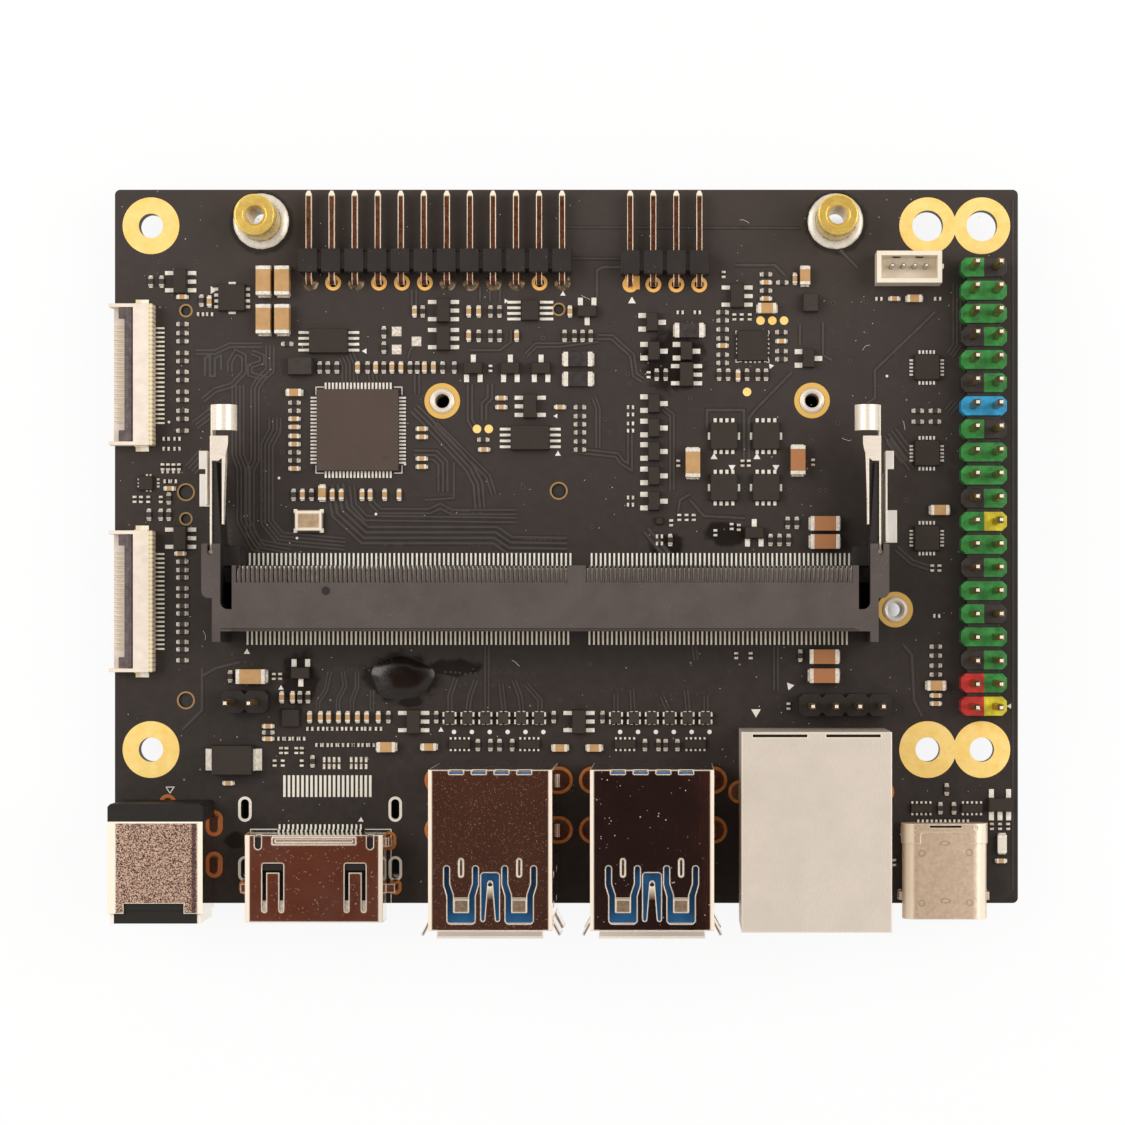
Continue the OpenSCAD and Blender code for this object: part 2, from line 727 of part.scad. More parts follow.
// Fan socket: an open box with four round pins, two low windows and a key rib at its right end
fan_l = 7.15;
fan_w = 3.5;
fan_h = 3.5;
fan_wall = 0.5;
fan_floor = 0.9;
fan_pins_at = [for (i = [0:3]) [fan_at[0] + 0.05 + (i - 1.5) * fan_pitch, fan_at[1] + 0.26]];
fan_pin_d = 0.5;
module fan_socket_body() {
    x = fan_at[0] - fan_l / 2;
    y = fan_at[1] - fan_w / 2;
    color([0.93, 0.89, 0.82]) difference() {
        union() {
            block(x, y, top, fan_l, fan_w, fan_h);
            block(x + fan_l, fan_at[1] - 0.1, top, 0.25, 0.5, fan_h - 0.8);
        }
        block(x + fan_wall, y + fan_wall, top + fan_floor, fan_l - 2 * fan_wall, fan_w - 2 * fan_wall, fan_h);
        for (s = [-1, 1])
            mid_block(fan_at[0] + s * fan_pitch, y + fan_w - fan_wall, top + fan_floor + 0.3, 0.82, 0.5, 0.5);
        for (p = fan_pins_at) translate([p[0], p[1], 0]) cylinder(d = fan_pin_d + 2 * fit, h = 5);
    }
}

module fan_socket_pins() {
    color([0.86, 0.82, 0.74]) for (p = fan_pins_at) translate([p[0], p[1], -1]) {
        cylinder(d = fan_pin_d, h = 1 + top + fan_h - 0.9);
        translate([0, 0, 1 + top + fan_h - 0.9]) cylinder(d1 = fan_pin_d, d2 = 0.25, h = 0.3);
    }
}

// Camera sockets: a floor with a comb of contacts, a rear block, and a latch that flips up
camera_front = left_x;
camera_back = camera_front + camera_d;
camera_wall = 0.4;
camera_floor = 0.62;
camera_slit = 0.15;
flip_x = camera_front + 1.85;
flip_z = camera_h - 0.1 - flip_r;
flip_reach = 1.5;
trunnion_r = 0.2;
trunnion_gap = 0.05;
function ways_at(y) = [for (i = [0:camera_ways - 1]) y + (i - (camera_ways - 1) / 2) * contact_pitch];

// A comb lying along Y, for slots cut into the mouth floor and the rear block
module camera_comb(y, w, back, root, tip) {
    mirror([1, -1, 0]) comb(ways_at(y), w, back, root, tip);
}

module camera_body(y) {
    inner = camera_l / 2 - camera_wall;
    color([0.93, 0.89, 0.82]) difference() {
        union() {
            block(camera_front, y - camera_l / 2, top, camera_d, camera_l, camera_floor);
            block(flip_x + flip_r + 0.05, y - camera_l / 2, top,
                camera_back - flip_x - flip_r - 0.05, camera_l, camera_h);
            for (s = [-1, 1])
                mid_block(
                    camera_front + camera_d / 2 - 0.15, y + s * (inner + camera_wall / 2), top,
                    camera_d + 0.3, camera_wall, camera_h
                );
        }
        translate([flip_x, y - camera_l, top + flip_z]) rotate([-90, 0, 0])
            cylinder(r = trunnion_r + trunnion_gap, h = 2 * camera_l);
        translate([0, 0, top + camera_floor - camera_slit]) linear_extrude(1)
            intersection() {
                camera_comb(y, 0.24, camera_front - 2, camera_front - 1, camera_back - 0.6);
                translate([camera_front - 3, y - inner]) square([flip_x + flip_r + 3.04 - camera_front, 2 * inner]);
            }
        translate([0, 0, top - 0.1]) linear_extrude(0.45)
            camera_comb(y, 0.3, camera_back + 1, camera_back + 0.5, camera_back - 0.35);
    }
}

// The latch lies flat over the mouth, and its two ends reach further forward
module camera_flip(y) {
    half = camera_l / 2 - camera_wall - 0.05;
    color([0.2, 0.18, 0.19]) {
        difference() {
            union() {
                translate([flip_x, y - half, top + flip_z]) rotate([-90, 0, 0]) cylinder(r = flip_r, h = 2 * half);
                block(flip_x - flip_reach + 0.4, y - half, top + flip_z - 0.05,
                    flip_reach - 0.4, 2 * half, flip_r + 0.05);
                for (s = [-1, 1])
                    mid_block(
                        flip_x - flip_reach / 2, y + s * (half - 0.6), top + flip_z - 0.05,
                        flip_reach, 1.2, flip_r + 0.05
                    );
            }
            block(flip_x + 0.3, y - half + 0.5, top + flip_z - flip_r - 0.1, 1, 2 * half - 1, 0.2);
        }
        translate([flip_x, y - half - camera_wall + 0.05, top + flip_z]) rotate([-90, 0, 0])
            cylinder(r = trunnion_r, h = 2 * half + 2 * camera_wall - 0.1);
    }
}

module camera_contacts(y) {
    color([0.84, 0.8, 0.72]) {
        for (w = ways_at(y)) {
            along_y(w - 0.1, 0.2) polygon([
                [camera_back + 1, top],
                [camera_back + 1, top + 0.14],
                [camera_back - 0.3, top + 0.14],
                [camera_back - 0.3, top]
            ]);
            block(camera_front + 0.3, w - 0.1, top + camera_floor - camera_slit, 1.9, 0.2, 0.14);
        }
        for (s = [-1, 1]) {
            mid_block(camera_front + 3.05, y + s * (camera_l / 2 + 0.3), top, 1.45, 0.6, 0.15);
            mid_block(camera_front + 3.05, y + s * (camera_l / 2 + 0.07), top, 1.45, 0.14, 0.9);
        }
    }
}

module camera_socket_back() {
    camera_body(camera_y[0]);
}

module camera_latch_back() {
    camera_flip(camera_y[0]);
}

module camera_contacts_back() {
    camera_contacts(camera_y[0]);
}

module camera_socket_front() {
    camera_body(camera_y[1]);
}

module camera_latch_front() {
    camera_flip(camera_y[1]);
}

module camera_contacts_front() {
    camera_contacts(camera_y[1]);
}

// Power jack: a moulded body, a bent cover over it, and the centre pin with its three tails
jack_front = front_y - jack_out;
jack_back = front_y + 11.45;
jack_axis = jack_h / 2;
jack_bore_l = 9.5;
jack_root = jack_pin + 0.9;
jack_root_l = 2.4;
jack_stem = jack_axis - 0.5;
cover_front = jack_front + 1.1;
cover_back = jack_back - 1.9;
jack_cheek = 0.35;
cheek_back = cover_front + 0.3;
module power_jack_body() {
    side = jack_w / 2 - shell_t;
    tail_l = jack_back - cover_back;
    color([0.13, 0.12, 0.12]) difference() {
        union() {
            block(jack_x - side, cheek_back, top, 2 * side, cover_back - cheek_back, jack_h - shell_t);
            block(jack_x - side + jack_cheek, jack_front, top,
                2 * (side - jack_cheek), cheek_back - jack_front + 0.1, jack_h - shell_t - 0.1);
            translate([jack_x, cover_back, top]) linear_extrude(jack_h - 0.1) polygon([
                [-jack_w / 2, 0], [jack_w / 2, 0], [jack_w / 2, tail_l - 0.3], [jack_w / 2 - 0.3, tail_l],
                [0.3 - jack_w / 2, tail_l], [-jack_w / 2, tail_l - 0.3]
            ]);
        }
        translate([jack_x, jack_front - 1, top + jack_axis]) rotate([-90, 0, 0])
            cylinder(d = jack_bore, h = jack_bore_l + 1);
        translate([jack_x, jack_front + jack_bore_l - 0.1, top + jack_axis]) rotate([-90, 0, 0])
            cylinder(d = jack_root, h = jack_root_l + 0.2);
        mid_block(jack_legs[0][0], jack_legs[0][1], top - 0.1, 0.6, 1.7, jack_stem + 0.1);
    }
}

module power_jack_shell() {
    l = cover_back - cover_front;
    color([0.8, 0.76, 0.7]) difference() {
        block(jack_x - jack_w / 2, cover_front, top, jack_w, l, jack_h);
        block(jack_x - jack_w / 2 + shell_t, cover_front - 1, top - 1,
            jack_w - 2 * shell_t, l + 2, jack_h + 1 - shell_t);
        mid_block(jack_x - 0.15, cover_front, top + jack_h - 1, 6.5, 2.2, 3);
    }
    color([0.8, 0.76, 0.7]) for (s = [-1, 1])
        mid_block(jack_x + s * (jack_w / 2 - shell_t - jack_cheek / 2 + 0.02), (jack_front + cheek_back) / 2, top,
            jack_cheek + 0.04, cheek_back - jack_front, jack_h - shell_t - 0.1);
    color([0.8, 0.76, 0.7]) for (i = [1, 2])
        mid_block(jack_legs[i][0], jack_legs[i][1], -1.2, shell_t, 1.7, top + 2);
}

module power_jack_pin() {
    color([0.85, 0.8, 0.68]) {
        translate([jack_x, jack_front + 1.2, top + jack_axis]) rotate([-90, 0, 0])
            cylinder(d = jack_pin, h = jack_bore_l - 1.2);
        translate([jack_x, jack_front + jack_bore_l, top + jack_axis]) rotate([-90, 0, 0])
            cylinder(d = jack_root, h = jack_root_l);
        mid_block(jack_legs[0][0], jack_legs[0][1], -1.2, 0.6, 1.7, top + jack_stem + 1.2);
    }
}

// Video socket: a folded shell with sloping lower corners, a tongue, and nineteen tails
video_front = front_y - video_out;
video_d = 9.5;
video_floor = 0.45;
video_slope = 1.6;
function video_outline(inset) = [
    [-video_w / 2 + inset + video_slope, video_floor + inset],
    [video_w / 2 - inset - video_slope, video_floor + inset],
    [video_w / 2 - inset, video_floor + video_slope + inset / 2],
    [video_w / 2 - inset, video_h - inset],
    [-video_w / 2 + inset, video_h - inset],
    [-video_w / 2 + inset, video_floor + video_slope + inset / 2]
];
tongue_w = 11.4;
video_tails = [for (i = [0:18]) video_x + (i - 9) * contact_pitch];
module spring_slot(x, y, l) {
    w = 0.45;
    reach = 0.93;
    translate([x - reach, y - 1]) square([2 * reach, 1]);
    for (s = [-1, 1]) translate([x + s * reach, y - l / 2]) slot(w, l);
}

module video_socket_shell() {
    color([0.8, 0.76, 0.7]) difference() {
        union() {
            along_y(video_front, video_d) translate([video_x, top]) polygon(video_outline(0));
            for (p = video_legs) {
                side = p[0] > video_x ? -1 : 1;
                mid_block(p[0], p[1], -1.1, shell_t, 1, top + 1.1 + 2.6);
                reach = abs(p[0] - video_x) - video_w / 2 + 0.3;
                mid_block(p[0] + side * reach / 2, p[1], top + 2.2, reach, 1, 0.4);
            }
            mid_block(video_x, video_front + video_d - 0.65, top + video_h - shell_t, 9.1, 0.8, shell_t + 0.12);
        }
        along_y(video_front - 1, video_d + 1 - shell_t) translate([video_x, top]) polygon(video_outline(shell_t));
        translate([0, 0, top + video_h - 1]) linear_extrude(2) {
            for (s = [-1, 1]) spring_slot(video_x + s * 4.48, video_front + 6.4, 5.3);
            for (s = [-1, 1]) translate([video_x + s * 6.1, video_front + video_d - 0.5]) slot(0.7, 2.1);
        }
        mid_block(video_x, video_front + video_d - 0.65, top + video_h - 0.12, 8.4, 0.3, 2);
        mid_block(video_x, video_front + video_d, top, 10, 2, 1.6);
    }
}

module video_socket_insert() {
    color([0.12, 0.12, 0.12]) {
        along_y(video_front + 5.6, video_d - 5.6 - shell_t) translate([video_x, top])
            polygon(video_outline(shell_t + fit));
        mid_block(video_x, video_front + 3.5, top + 2.9, tongue_w, 5, 0.9);
        mid_block(video_x, video_front + 3.5, top + 2.3, tongue_w - 1.4, 5, 0.7);
    }
}

module video_socket_contacts() {
    color([0.85, 0.8, 0.7]) for (x = video_tails) {
        along_x(x - 0.1, 0.2) polygon([
            [video_front + video_d + 0.78, top],
            [video_front + video_d + 0.78, top + 0.15],
            [video_front + video_d + 0.25, top + 0.15],
            [video_front + video_d + 0.25, top + 0.95],
            [video_front + video_d - shell_t, top + 0.95],
            [video_front + video_d - shell_t, top + 0.75],
            [video_front + video_d + 0.05, top + 0.75],
            [video_front + video_d + 0.05, top]
        ]);
    }
}

// Stacked data sockets: two ports, one above the other, in one folded shell
stack_front = front_y - stack_out;
stack_back = stack_front + stack_d;
port_h = 5.2;
port_low = [1.2, 9.1];
tongue_t = 1.9;
tongue_l = 8.6;
insert_back = 8.3;
function stack_tails(x) = [
    for (r = [0:3], i = [0:(r % 2 == 0 ? 3 : 4)])
        [x + (i - (r % 2 == 0 ? 1.5 : 2)) * 2, stack_back - 1.6 - 1.5 * r]
];

// Cut-outs in the shell's roof: two wide springs, one narrow spring, two dimple slots, rear notches
module roof_cuts() {
    for (s = [-1, 1]) translate([s * 3.07, 0.75]) {
        difference() {
            polygon([
                [-1.2, 0], [1.2, 0], [1.45, 0.25], [1.45, 2.9], [1.8, 4.1], [1.8, 5.8],
                [-1.8, 5.8], [-1.8, 4.1], [-1.45, 2.9], [-1.45, 0.25]
            ]);
            polygon([
                [-0.85, 1.2], [0.85, 1.2], [0.85, 3], [1.25, 4.2],
                [1.25, 6], [-1.25, 6], [-1.25, 4.2], [-0.85, 3]
            ]);
        }
        for (side = [-1, 1]) translate([side * 1.525, 5.8]) circle(d = 0.55);
    }
    difference() {
        polygon([[-0.95, 1.2], [0.95, 1.2], [0.95, 5.9], [0.75, 6.1], [-0.75, 6.1], [-0.95, 5.9]]);
        polygon([[-0.6, 1], [0.6, 1], [0.6, 1.2], [0.3, 5], [0.15, 5.3], [-0.15, 5.3], [-0.3, 5], [-0.6, 1.2]]);
    }
    for (side = [-1, 1]) translate([side * 0.775, 1.2]) circle(d = 0.35);
    for (i = [-1.5:1:1.5]) translate([i * 2.4, stack_d - 0.15]) square([1.5, 0.6], center = true);
}

// Shallow grooves pressed in the roof behind the wide springs
module roof_grooves() {
    for (s = [-1, 1]) translate([s * 3.07, 6.65]) slot(0.45, 1.9);
}

module lip(l, out, back, tilt) {
    translate([0, back, 0]) rotate([-tilt, 0, 0]) translate([-l / 2, -out, -shell_t]) cube([l, out + 0.2, shell_t]);
}

module stack_shell(x) {
    inner = stack_w - 2 * shell_t;
    gap_low = port_low[0] + port_h;
    color([0.78, 0.74, 0.68]) translate([x, stack_front, top]) {
        difference() {
            translate([-stack_w / 2, 0, 0]) cube([stack_w, stack_d, stack_h]);
            translate([-inner / 2, -1, -1]) cube([inner, stack_d + 1 - shell_t, stack_h + 1 - shell_t]);
            translate([0, 0, stack_h - 1]) linear_extrude(2) roof_cuts();
            translate([0, 0, stack_h - 0.12]) linear_extrude(1) roof_grooves();
            for (z = port_low) translate([-stack_w, 2.2, z + 1.6]) cube([2 * stack_w, 0.5, 2.2]);
            for (z = port_low) translate([-stack_w, 5.4, z + 1.6]) cube([2 * stack_w, 0.5, 2.2]);
        }
        difference() {
            translate([-inner / 2, 0, gap_low]) cube([inner, 6, port_low[1] - gap_low]);
            translate([-inner / 2 - 1, shell_t, gap_low + shell_t])
                cube([inner + 2, 8, port_low[1] - gap_low - 2 * shell_t]);
        }
        translate([-inner / 2, 0, 0]) cube([inner, shell_t, port_low[0]]);
        translate([0, 0, stack_h]) lip(11.2, 0.75, 0, 35);
        for (s = [-1, 1], z = port_low)
            translate([s * stack_w / 2, 0, z + port_h / 2]) rotate([0, s * 90, 0]) lip(4.4, 1.9, 1.1, 28);
        for (s = [-1, 1], y = stack_leg_y) {
            translate([s * stack_leg_x - shell_t / 2, y - stack_front - 0.7, -top - 1.3])
                cube([shell_t, 1.4, top + 1.3 + 1.2]);
        }
    }
}

module stack_insert(x) {
    inner = stack_w - 2 * shell_t - 2 * fit;
    color([0.08, 0.4, 0.62]) translate([x, stack_front, top]) {
        translate([-inner / 2, insert_back, 0.02])
            cube([inner, stack_d - insert_back - shell_t, stack_h - shell_t - 0.1]);
        for (z = port_low) translate([-5.6, insert_back - tongue_l + 1, z + port_h - tongue_t - 0.3])
            cube([11.2, tongue_l, tongue_t]);
    }
}

module stack_contacts(x) {
    color([0.85, 0.72, 0.4]) {
        for (p = stack_tails(x)) mid_block(p[0], p[1], -1.1, 0.5, 0.3, top + 1.1 + 0.02);
        for (z = port_low, i = [-1.5:1:1.5])
            mid_block(x + i * 2.4, stack_front + 4.3, top + z + port_h - tongue_t - 0.4, 1, 5.6, 0.1);
    }
}

module left_stack_shell() {
    stack_shell(stack_x[0]);
}

module left_stack_insert() {
    stack_insert(stack_x[0]);
}

module left_stack_contacts() {
    stack_contacts(stack_x[0]);
}

module right_stack_shell() {
    stack_shell(stack_x[1]);
}

module right_stack_insert() {
    stack_insert(stack_x[1]);
}

module right_stack_contacts() {
    stack_contacts(stack_x[1]);
}

// Network jack: a closed metal can round a moulded body with a stepped plug mouth
net_front = front_y - net_out;
net_back = net_front + net_d;
mouth_w = 11.8;
mouth_h = 6.9;
mouth_d = 13;
mouth_z = 3.6;
net_tails = [
    for (i = [0:7]) [net_x + (i - 3.5) * 1.27, net_back - 6.5 - (i % 2) * 2.54]
];
module mouth_face() {
    translate([-mouth_w / 2, mouth_z]) square([mouth_w, mouth_h]);
    translate([-3.1, mouth_z - 1.5]) square([6.2, 1.6]);
    translate([-1.65, mouth_z - 2.6]) square([3.3, 1.2]);
}

module network_jack_shell() {
    inner = net_w - 2 * shell_t;
    color([0.86, 0.81, 0.74]) translate([net_x, net_front, top]) {
        difference() {
            translate([-net_w / 2, 0, 0]) cube([net_w, net_d, net_h]);
            translate([-inner / 2, shell_t, -1]) cube([inner, net_d - 2 * shell_t, net_h + 1 - shell_t]);
            translate([0, 2, 0]) rotate([90, 0, 0]) linear_extrude(4) mouth_face();
            for (s = [-1, 1])
                translate([s * 3.9 - 2.9, net_d - 0.55, net_h - 0.7]) cube([5.8, 0.3, 1]);
            for (s = [-1, 1]) translate([s * net_w / 2 - 1, 3, 4]) cube([2, 0.5, 5]);
            translate([-6.6, -1, net_h - 1.9]) cube([2.6, 3, 1.3]);
            translate([4, -1, net_h - 1.9]) cube([2.6, 3, 1.3]);
        }
        for (p = net_legs)
            translate([p[0] - net_x - shell_t / 2, p[1] - net_front - 0.7, -top - 1.3])
                cube([shell_t, 1.4, top + 2]);
    }
}

module network_jack_body() {
    inner = net_w - 2 * shell_t - 2 * fit;
    color([0.12, 0.12, 0.12]) translate([net_x, net_front, top]) difference() {
        translate([-inner / 2, shell_t + fit, 0.02])
            cube([inner, net_d - 2 * shell_t - 2 * fit, net_h - shell_t - 0.1]);
        translate([0, mouth_d, 0]) rotate([90, 0, 0]) linear_extrude(mouth_d + 1) mouth_face();
        for (i = [0:7]) translate([(i - 3.5) * 1.02 - 0.22, 2, mouth_z + mouth_h - 0.1])
            cube([0.44, mouth_d - 2.5, 0.7]);
        for (p = net_legs) translate([p[0] - net_x - 0.3, p[1] - net_front - 0.9, -1]) cube([0.6, 1.8, 3]);
    }
}

// Eight wires lie in the mouth's roof and spring down towards the back
module network_jack_contacts() {
    roof = top + mouth_z + mouth_h;
    color([0.9, 0.74, 0.36]) {
        for (i = [0:7]) along_x(net_x + (i - 3.5) * 1.02 - 0.18, 0.36) polygon([
            [net_front + 2.4, roof + 0.55],
            [net_front + 2.4, roof + 0.2],
            [net_front + 3.4, roof + 0.2],
            [net_front + 9.4, roof - 2],
            [net_front + 9.8, roof - 2],
            [net_front + 9.8, roof - 1.75],
            [net_front + 3.6, roof + 0.55]
        ]);
        for (p = net_tails) mid_block(p[0], p[1], -1.1, 0.5, 0.4, top + 1.1 + 0.02);
    }
}

// Oval data socket: a tube with round sides, a thin tongue, a rear bracket and twelve tails
oval_front = front_y - oval_out;
module oval_face(inset) {
    r = oval_h / 2 - inset;
    side = oval_w / 2 - inset - r;
    translate([-side, inset]) square([2 * side, 2 * r]);
    for (s = [-1, 1]) translate([s * side, inset + r]) circle(r);
}

// Clip over the rear of the tube: a thin band with two ears and a slot
module oval_bracket() {
    difference() {
        translate([0, oval_d, 0]) rotate([90, 0, 0]) linear_extrude(2.2) difference() {
            oval_face(-0.12);
            oval_face(0.05);
            translate([-oval_w, -1]) square([2 * oval_w, oval_h / 2 + 0.6]);
        }
        translate([0, 0, 1]) linear_extrude(5) {
            translate([-2.35, oval_d - 3.3]) square([4.7, 2.35]);
            translate([-2.75, oval_d - 3.3]) square([5.5, 1.9]);
            for (s = [-1, 1]) translate([s * 2.35, oval_d - 1.35]) circle(r = 0.4);
            for (s = [-1, 1]) translate([s * 3.35, oval_d - 0.5]) circle(d = 0.45);
            translate([-1.75, oval_d - 0.45]) square([3.5, 0.25]);
        }
    }
}

module oval_socket_shell() {
    color([0.78, 0.72, 0.64]) translate([oval_x, oval_front, top]) {
        difference() {
            translate([0, oval_d, 0]) rotate([90, 0, 0]) linear_extrude(oval_d) oval_face(0);
            translate([0, oval_d - shell_t, 0]) rotate([90, 0, 0]) linear_extrude(oval_d) oval_face(shell_t);
            translate([-2, oval_d - 0.45, oval_h - 0.6]) cube([4, 0.25, 1]);
            translate([-3.1, oval_d - 1, -1]) cube([6.2, 2, 1.8]);
        }
        for (p = concat(oval_front_legs, oval_rear_legs))
            translate([p[0] - oval_x - 0.15, p[1] - oval_front - 0.45, -top - 0.6])
                cube([0.3, 0.9, top + 0.6 + oval_h / 2]);
        oval_bracket();
        for (p = oval_front_legs, s = p[0] > oval_x ? 1 : -1)
            translate([s * (oval_w / 2 + 0.05) - 0.25, p[1] - oval_front - 0.45, oval_h / 2 - 0.2])
                cube([0.5, 0.9, 0.2]);
    }
}

module oval_socket_tongue() {
    color([0.14, 0.14, 0.14]) translate([oval_x, oval_front, top]) {
        difference() {
            translate([0, oval_d - shell_t, 0]) rotate([90, 0, 0]) linear_extrude(4.6) oval_face(shell_t + fit);
            translate([-3.1, oval_d - 1, -1]) cube([6.2, 2, 1.8]);
        }
        translate([-3.3, 0.9, oval_h / 2 - 0.35]) cube([6.6, 6, 0.7]);
    }
}

module oval_socket_contacts() {
    y = oval_front + oval_d;
    color([0.88, 0.8, 0.62]) for (i = [0:11]) along_x(oval_x + (i - 5.5) * contact_pitch - 0.12, 0.24) polygon([
        [y + 0.25, top],
        [y + 0.25, top + 0.15],
        [y - 0.5, top + 0.15],
        [y - 0.5, top + 0.6],
        [y - 1, top + 0.6],
        [y - 1, top + 0.4],
        [y - 0.7, top + 0.4],
        [y - 0.7, top]
    ]);
}

// Chips: the hub chip and its corner mark, then the others by kind, each at its place and turn
hub_at = [22.95, 35.35];
chips_8 = [[19.7, 45.2], [42, 34.5]];
chip_8_small = [[42, 48.6]];
power_chips = [[63.45, 34.7, 0], [68.1, 34.7, 0], [63.45, 29, 180], [68.1, 29, 180], [9, 50, 90]];
square_chips = [[85.9 + slide_x, 42.3], [85.9 + slide_x, 32.8], [85.9 + slide_x, 23.4]];
fine_chips = [[66.6, 44.7, 3.4], [-0.5, 29.5, 1.6], [15.5, 3.5, 2], [56.3, 25.3, 0.8]];
five_leads = [
    [32.4, 48.6, 180], [32.4, 45.5, 180], [59.3, 41.5, 180], [64.9, 50.2, 180],
    [29.1, 3.1, 180], [47.4, 3.1, 180], [42, 38, 0], [3.3, 51.8, 180], [3.3, 23.4, 180]
];
three_leads = [
    [55.5, 47.3, 0], [55.7, 44.1, 0], [59.3, 44.1, 0], [55.7, 38.3, 0], [55.7, 35.6, 0], [55.7, 33, 0],
    [55.7, 30.3, 0], [55.7, 27.5, 0], [72.8, 43.3, 0], [35.7, 42.2, 90], [39.8, 42.2, 90], [43.2, 42.2, 90],
    [48.3, 48.5, 270], [66.8, 24, 90], [16.6, 8.5, 270]
];
filter_arrays = [
    [34.2, 0.6], [41.9, 0.6], [52.5, 0.6], [60.3, 0.6],
    [85.3 + slide_x, -6.5], [90.9 + slide_x, -6.5]
];
diode_at = [9.2, -1.1];

module at(p) {
    translate([p[0], p[1], top]) rotate(len(p) > 2 ? p[2] : 0) children();
}

// A moulded body whose sides lean in a little above the lead line
module mould(l, w, h) {
    lean = 0.08;
    intersection() {
        along_x(-l / 2, l) polygon([
            [-w / 2, 0.05], [w / 2, 0.05], [w / 2, h / 2], [w / 2 - lean, h], [-w / 2 + lean, h], [-w / 2, h / 2]
        ]);
        along_y(-w / 2, w) polygon([
            [-l / 2, 0.05], [l / 2, 0.05], [l / 2, h / 2], [l / 2 - lean, h], [-l / 2 + lean, h], [-l / 2, h / 2]
        ]);
    }
}

module hub_chip() {
    color([0.29, 0.26, 0.25]) difference() {
        at(hub_at) mid_block(0, 0, 0, hub_side, hub_side, hub_h);
        at(hub_at) translate([hub_side / 2 - 1.4, -hub_side / 2 + 1.3, hub_h - 0.05]) cylinder(d = 0.5, h = 1);
    }
}

module chip_bodies() {
    color([0.17, 0.15, 0.14]) {
        for (p = chips_8) at(p) mould(4.3, 2.75, 1);
        for (p = chip_8_small) at(p) mould(1.9, 2.3, chip_h);
        for (p = power_chips) at(p) mould(3, 3, chip_h);
        for (p = square_chips) at(p) mould(2.8, 2.8, chip_h);
        for (p = fine_chips) at([p[0], p[1]]) mould(p[2], p[2], 0.6);
        for (p = five_leads) at(p) mould(1.5, 2.7, 1);
        for (p = three_leads) at(p) mould(1.3, 2.1, 0.95);
        for (p = filter_arrays) at(p) mould(2.4, 1, 0.5);
        at([94 + slide_x, -6.1, 90]) mould(1.5, 2.7, 1);
        at(diode_at) mould(4.5, 3.3, 2.1);
    }
}

// Leads, all flat bars that lie on the board beside their chip
module leads(count, pitch, reach, l, w) {
    for (i = [0:count - 1], s = [-1, 1])
        mid_block((i - (count - 1) / 2) * pitch, s * reach, 0, w, l, 0.12);
}

module chip_leads() {
    color([0.88, 0.86, 0.82]) {
        at(hub_at) for (turn = [0, 90]) rotate(turn) leads(19, 0.4, hub_side / 2 + 0.4, 0.75, 0.22);
        for (p = chips_8) at([p[0], p[1], 90]) leads(4, 0.65, 2.15 + 0.62, 1.2, 0.3);
        for (p = chip_8_small) at([p[0], p[1], 90]) leads(4, 0.62, 0.95 + 0.85, 1.5, 0.3);
        for (p = power_chips) at(p) {
            leads(4, 0.65, 1.5 + 0.25, 0.45, 0.35);
            rotate(90) leads(1, 1, 1.5 + 0.15, 0.25, 0.8);
        }
        for (p = square_chips) at(p) for (turn = [0, 90]) rotate(turn) leads(5, 0.4, 1.4 + 0.3, 0.4, 0.22);
        for (p = five_leads) at(p) {
            for (y = [-0.95, 0, 0.95]) mid_block(-0.75 - 0.5, y, 0, 0.95, 0.45, 0.15);
            for (y = [-0.95, 0.95]) mid_block(0.75 + 0.5, y, 0, 0.95, 0.45, 0.15);
        }
        for (p = three_leads) at(p) {
            for (y = [-0.75, 0.75]) mid_block(-0.65 - 0.45, y, 0, 0.85, 0.55, 0.15);
            mid_block(0.65 + 0.45, 0, 0, 0.85, 0.55, 0.15);
        }
        for (p = filter_arrays) at(p) leads(5, 0.5, 0.5 + 0.14, 0.26, 0.22);
        at([94 + slide_x, -6.1, 90]) {
            for (y = [-0.95, 0, 0.95]) mid_block(-0.75 - 0.5, y, 0, 0.95, 0.55, 0.15);
            for (y = [-0.95, 0.95]) mid_block(0.75 + 0.5, y, 0, 0.95, 0.55, 0.15);
        }
        at(diode_at) for (s = [-1, 1]) {
            mid_block(s * 2.68, 0, 0, 0.85, 2.4, 0.3);
            mid_block(s * 2.35, 0, 0.3, 0.2, 2.4, 0.8);
        }
    }
}

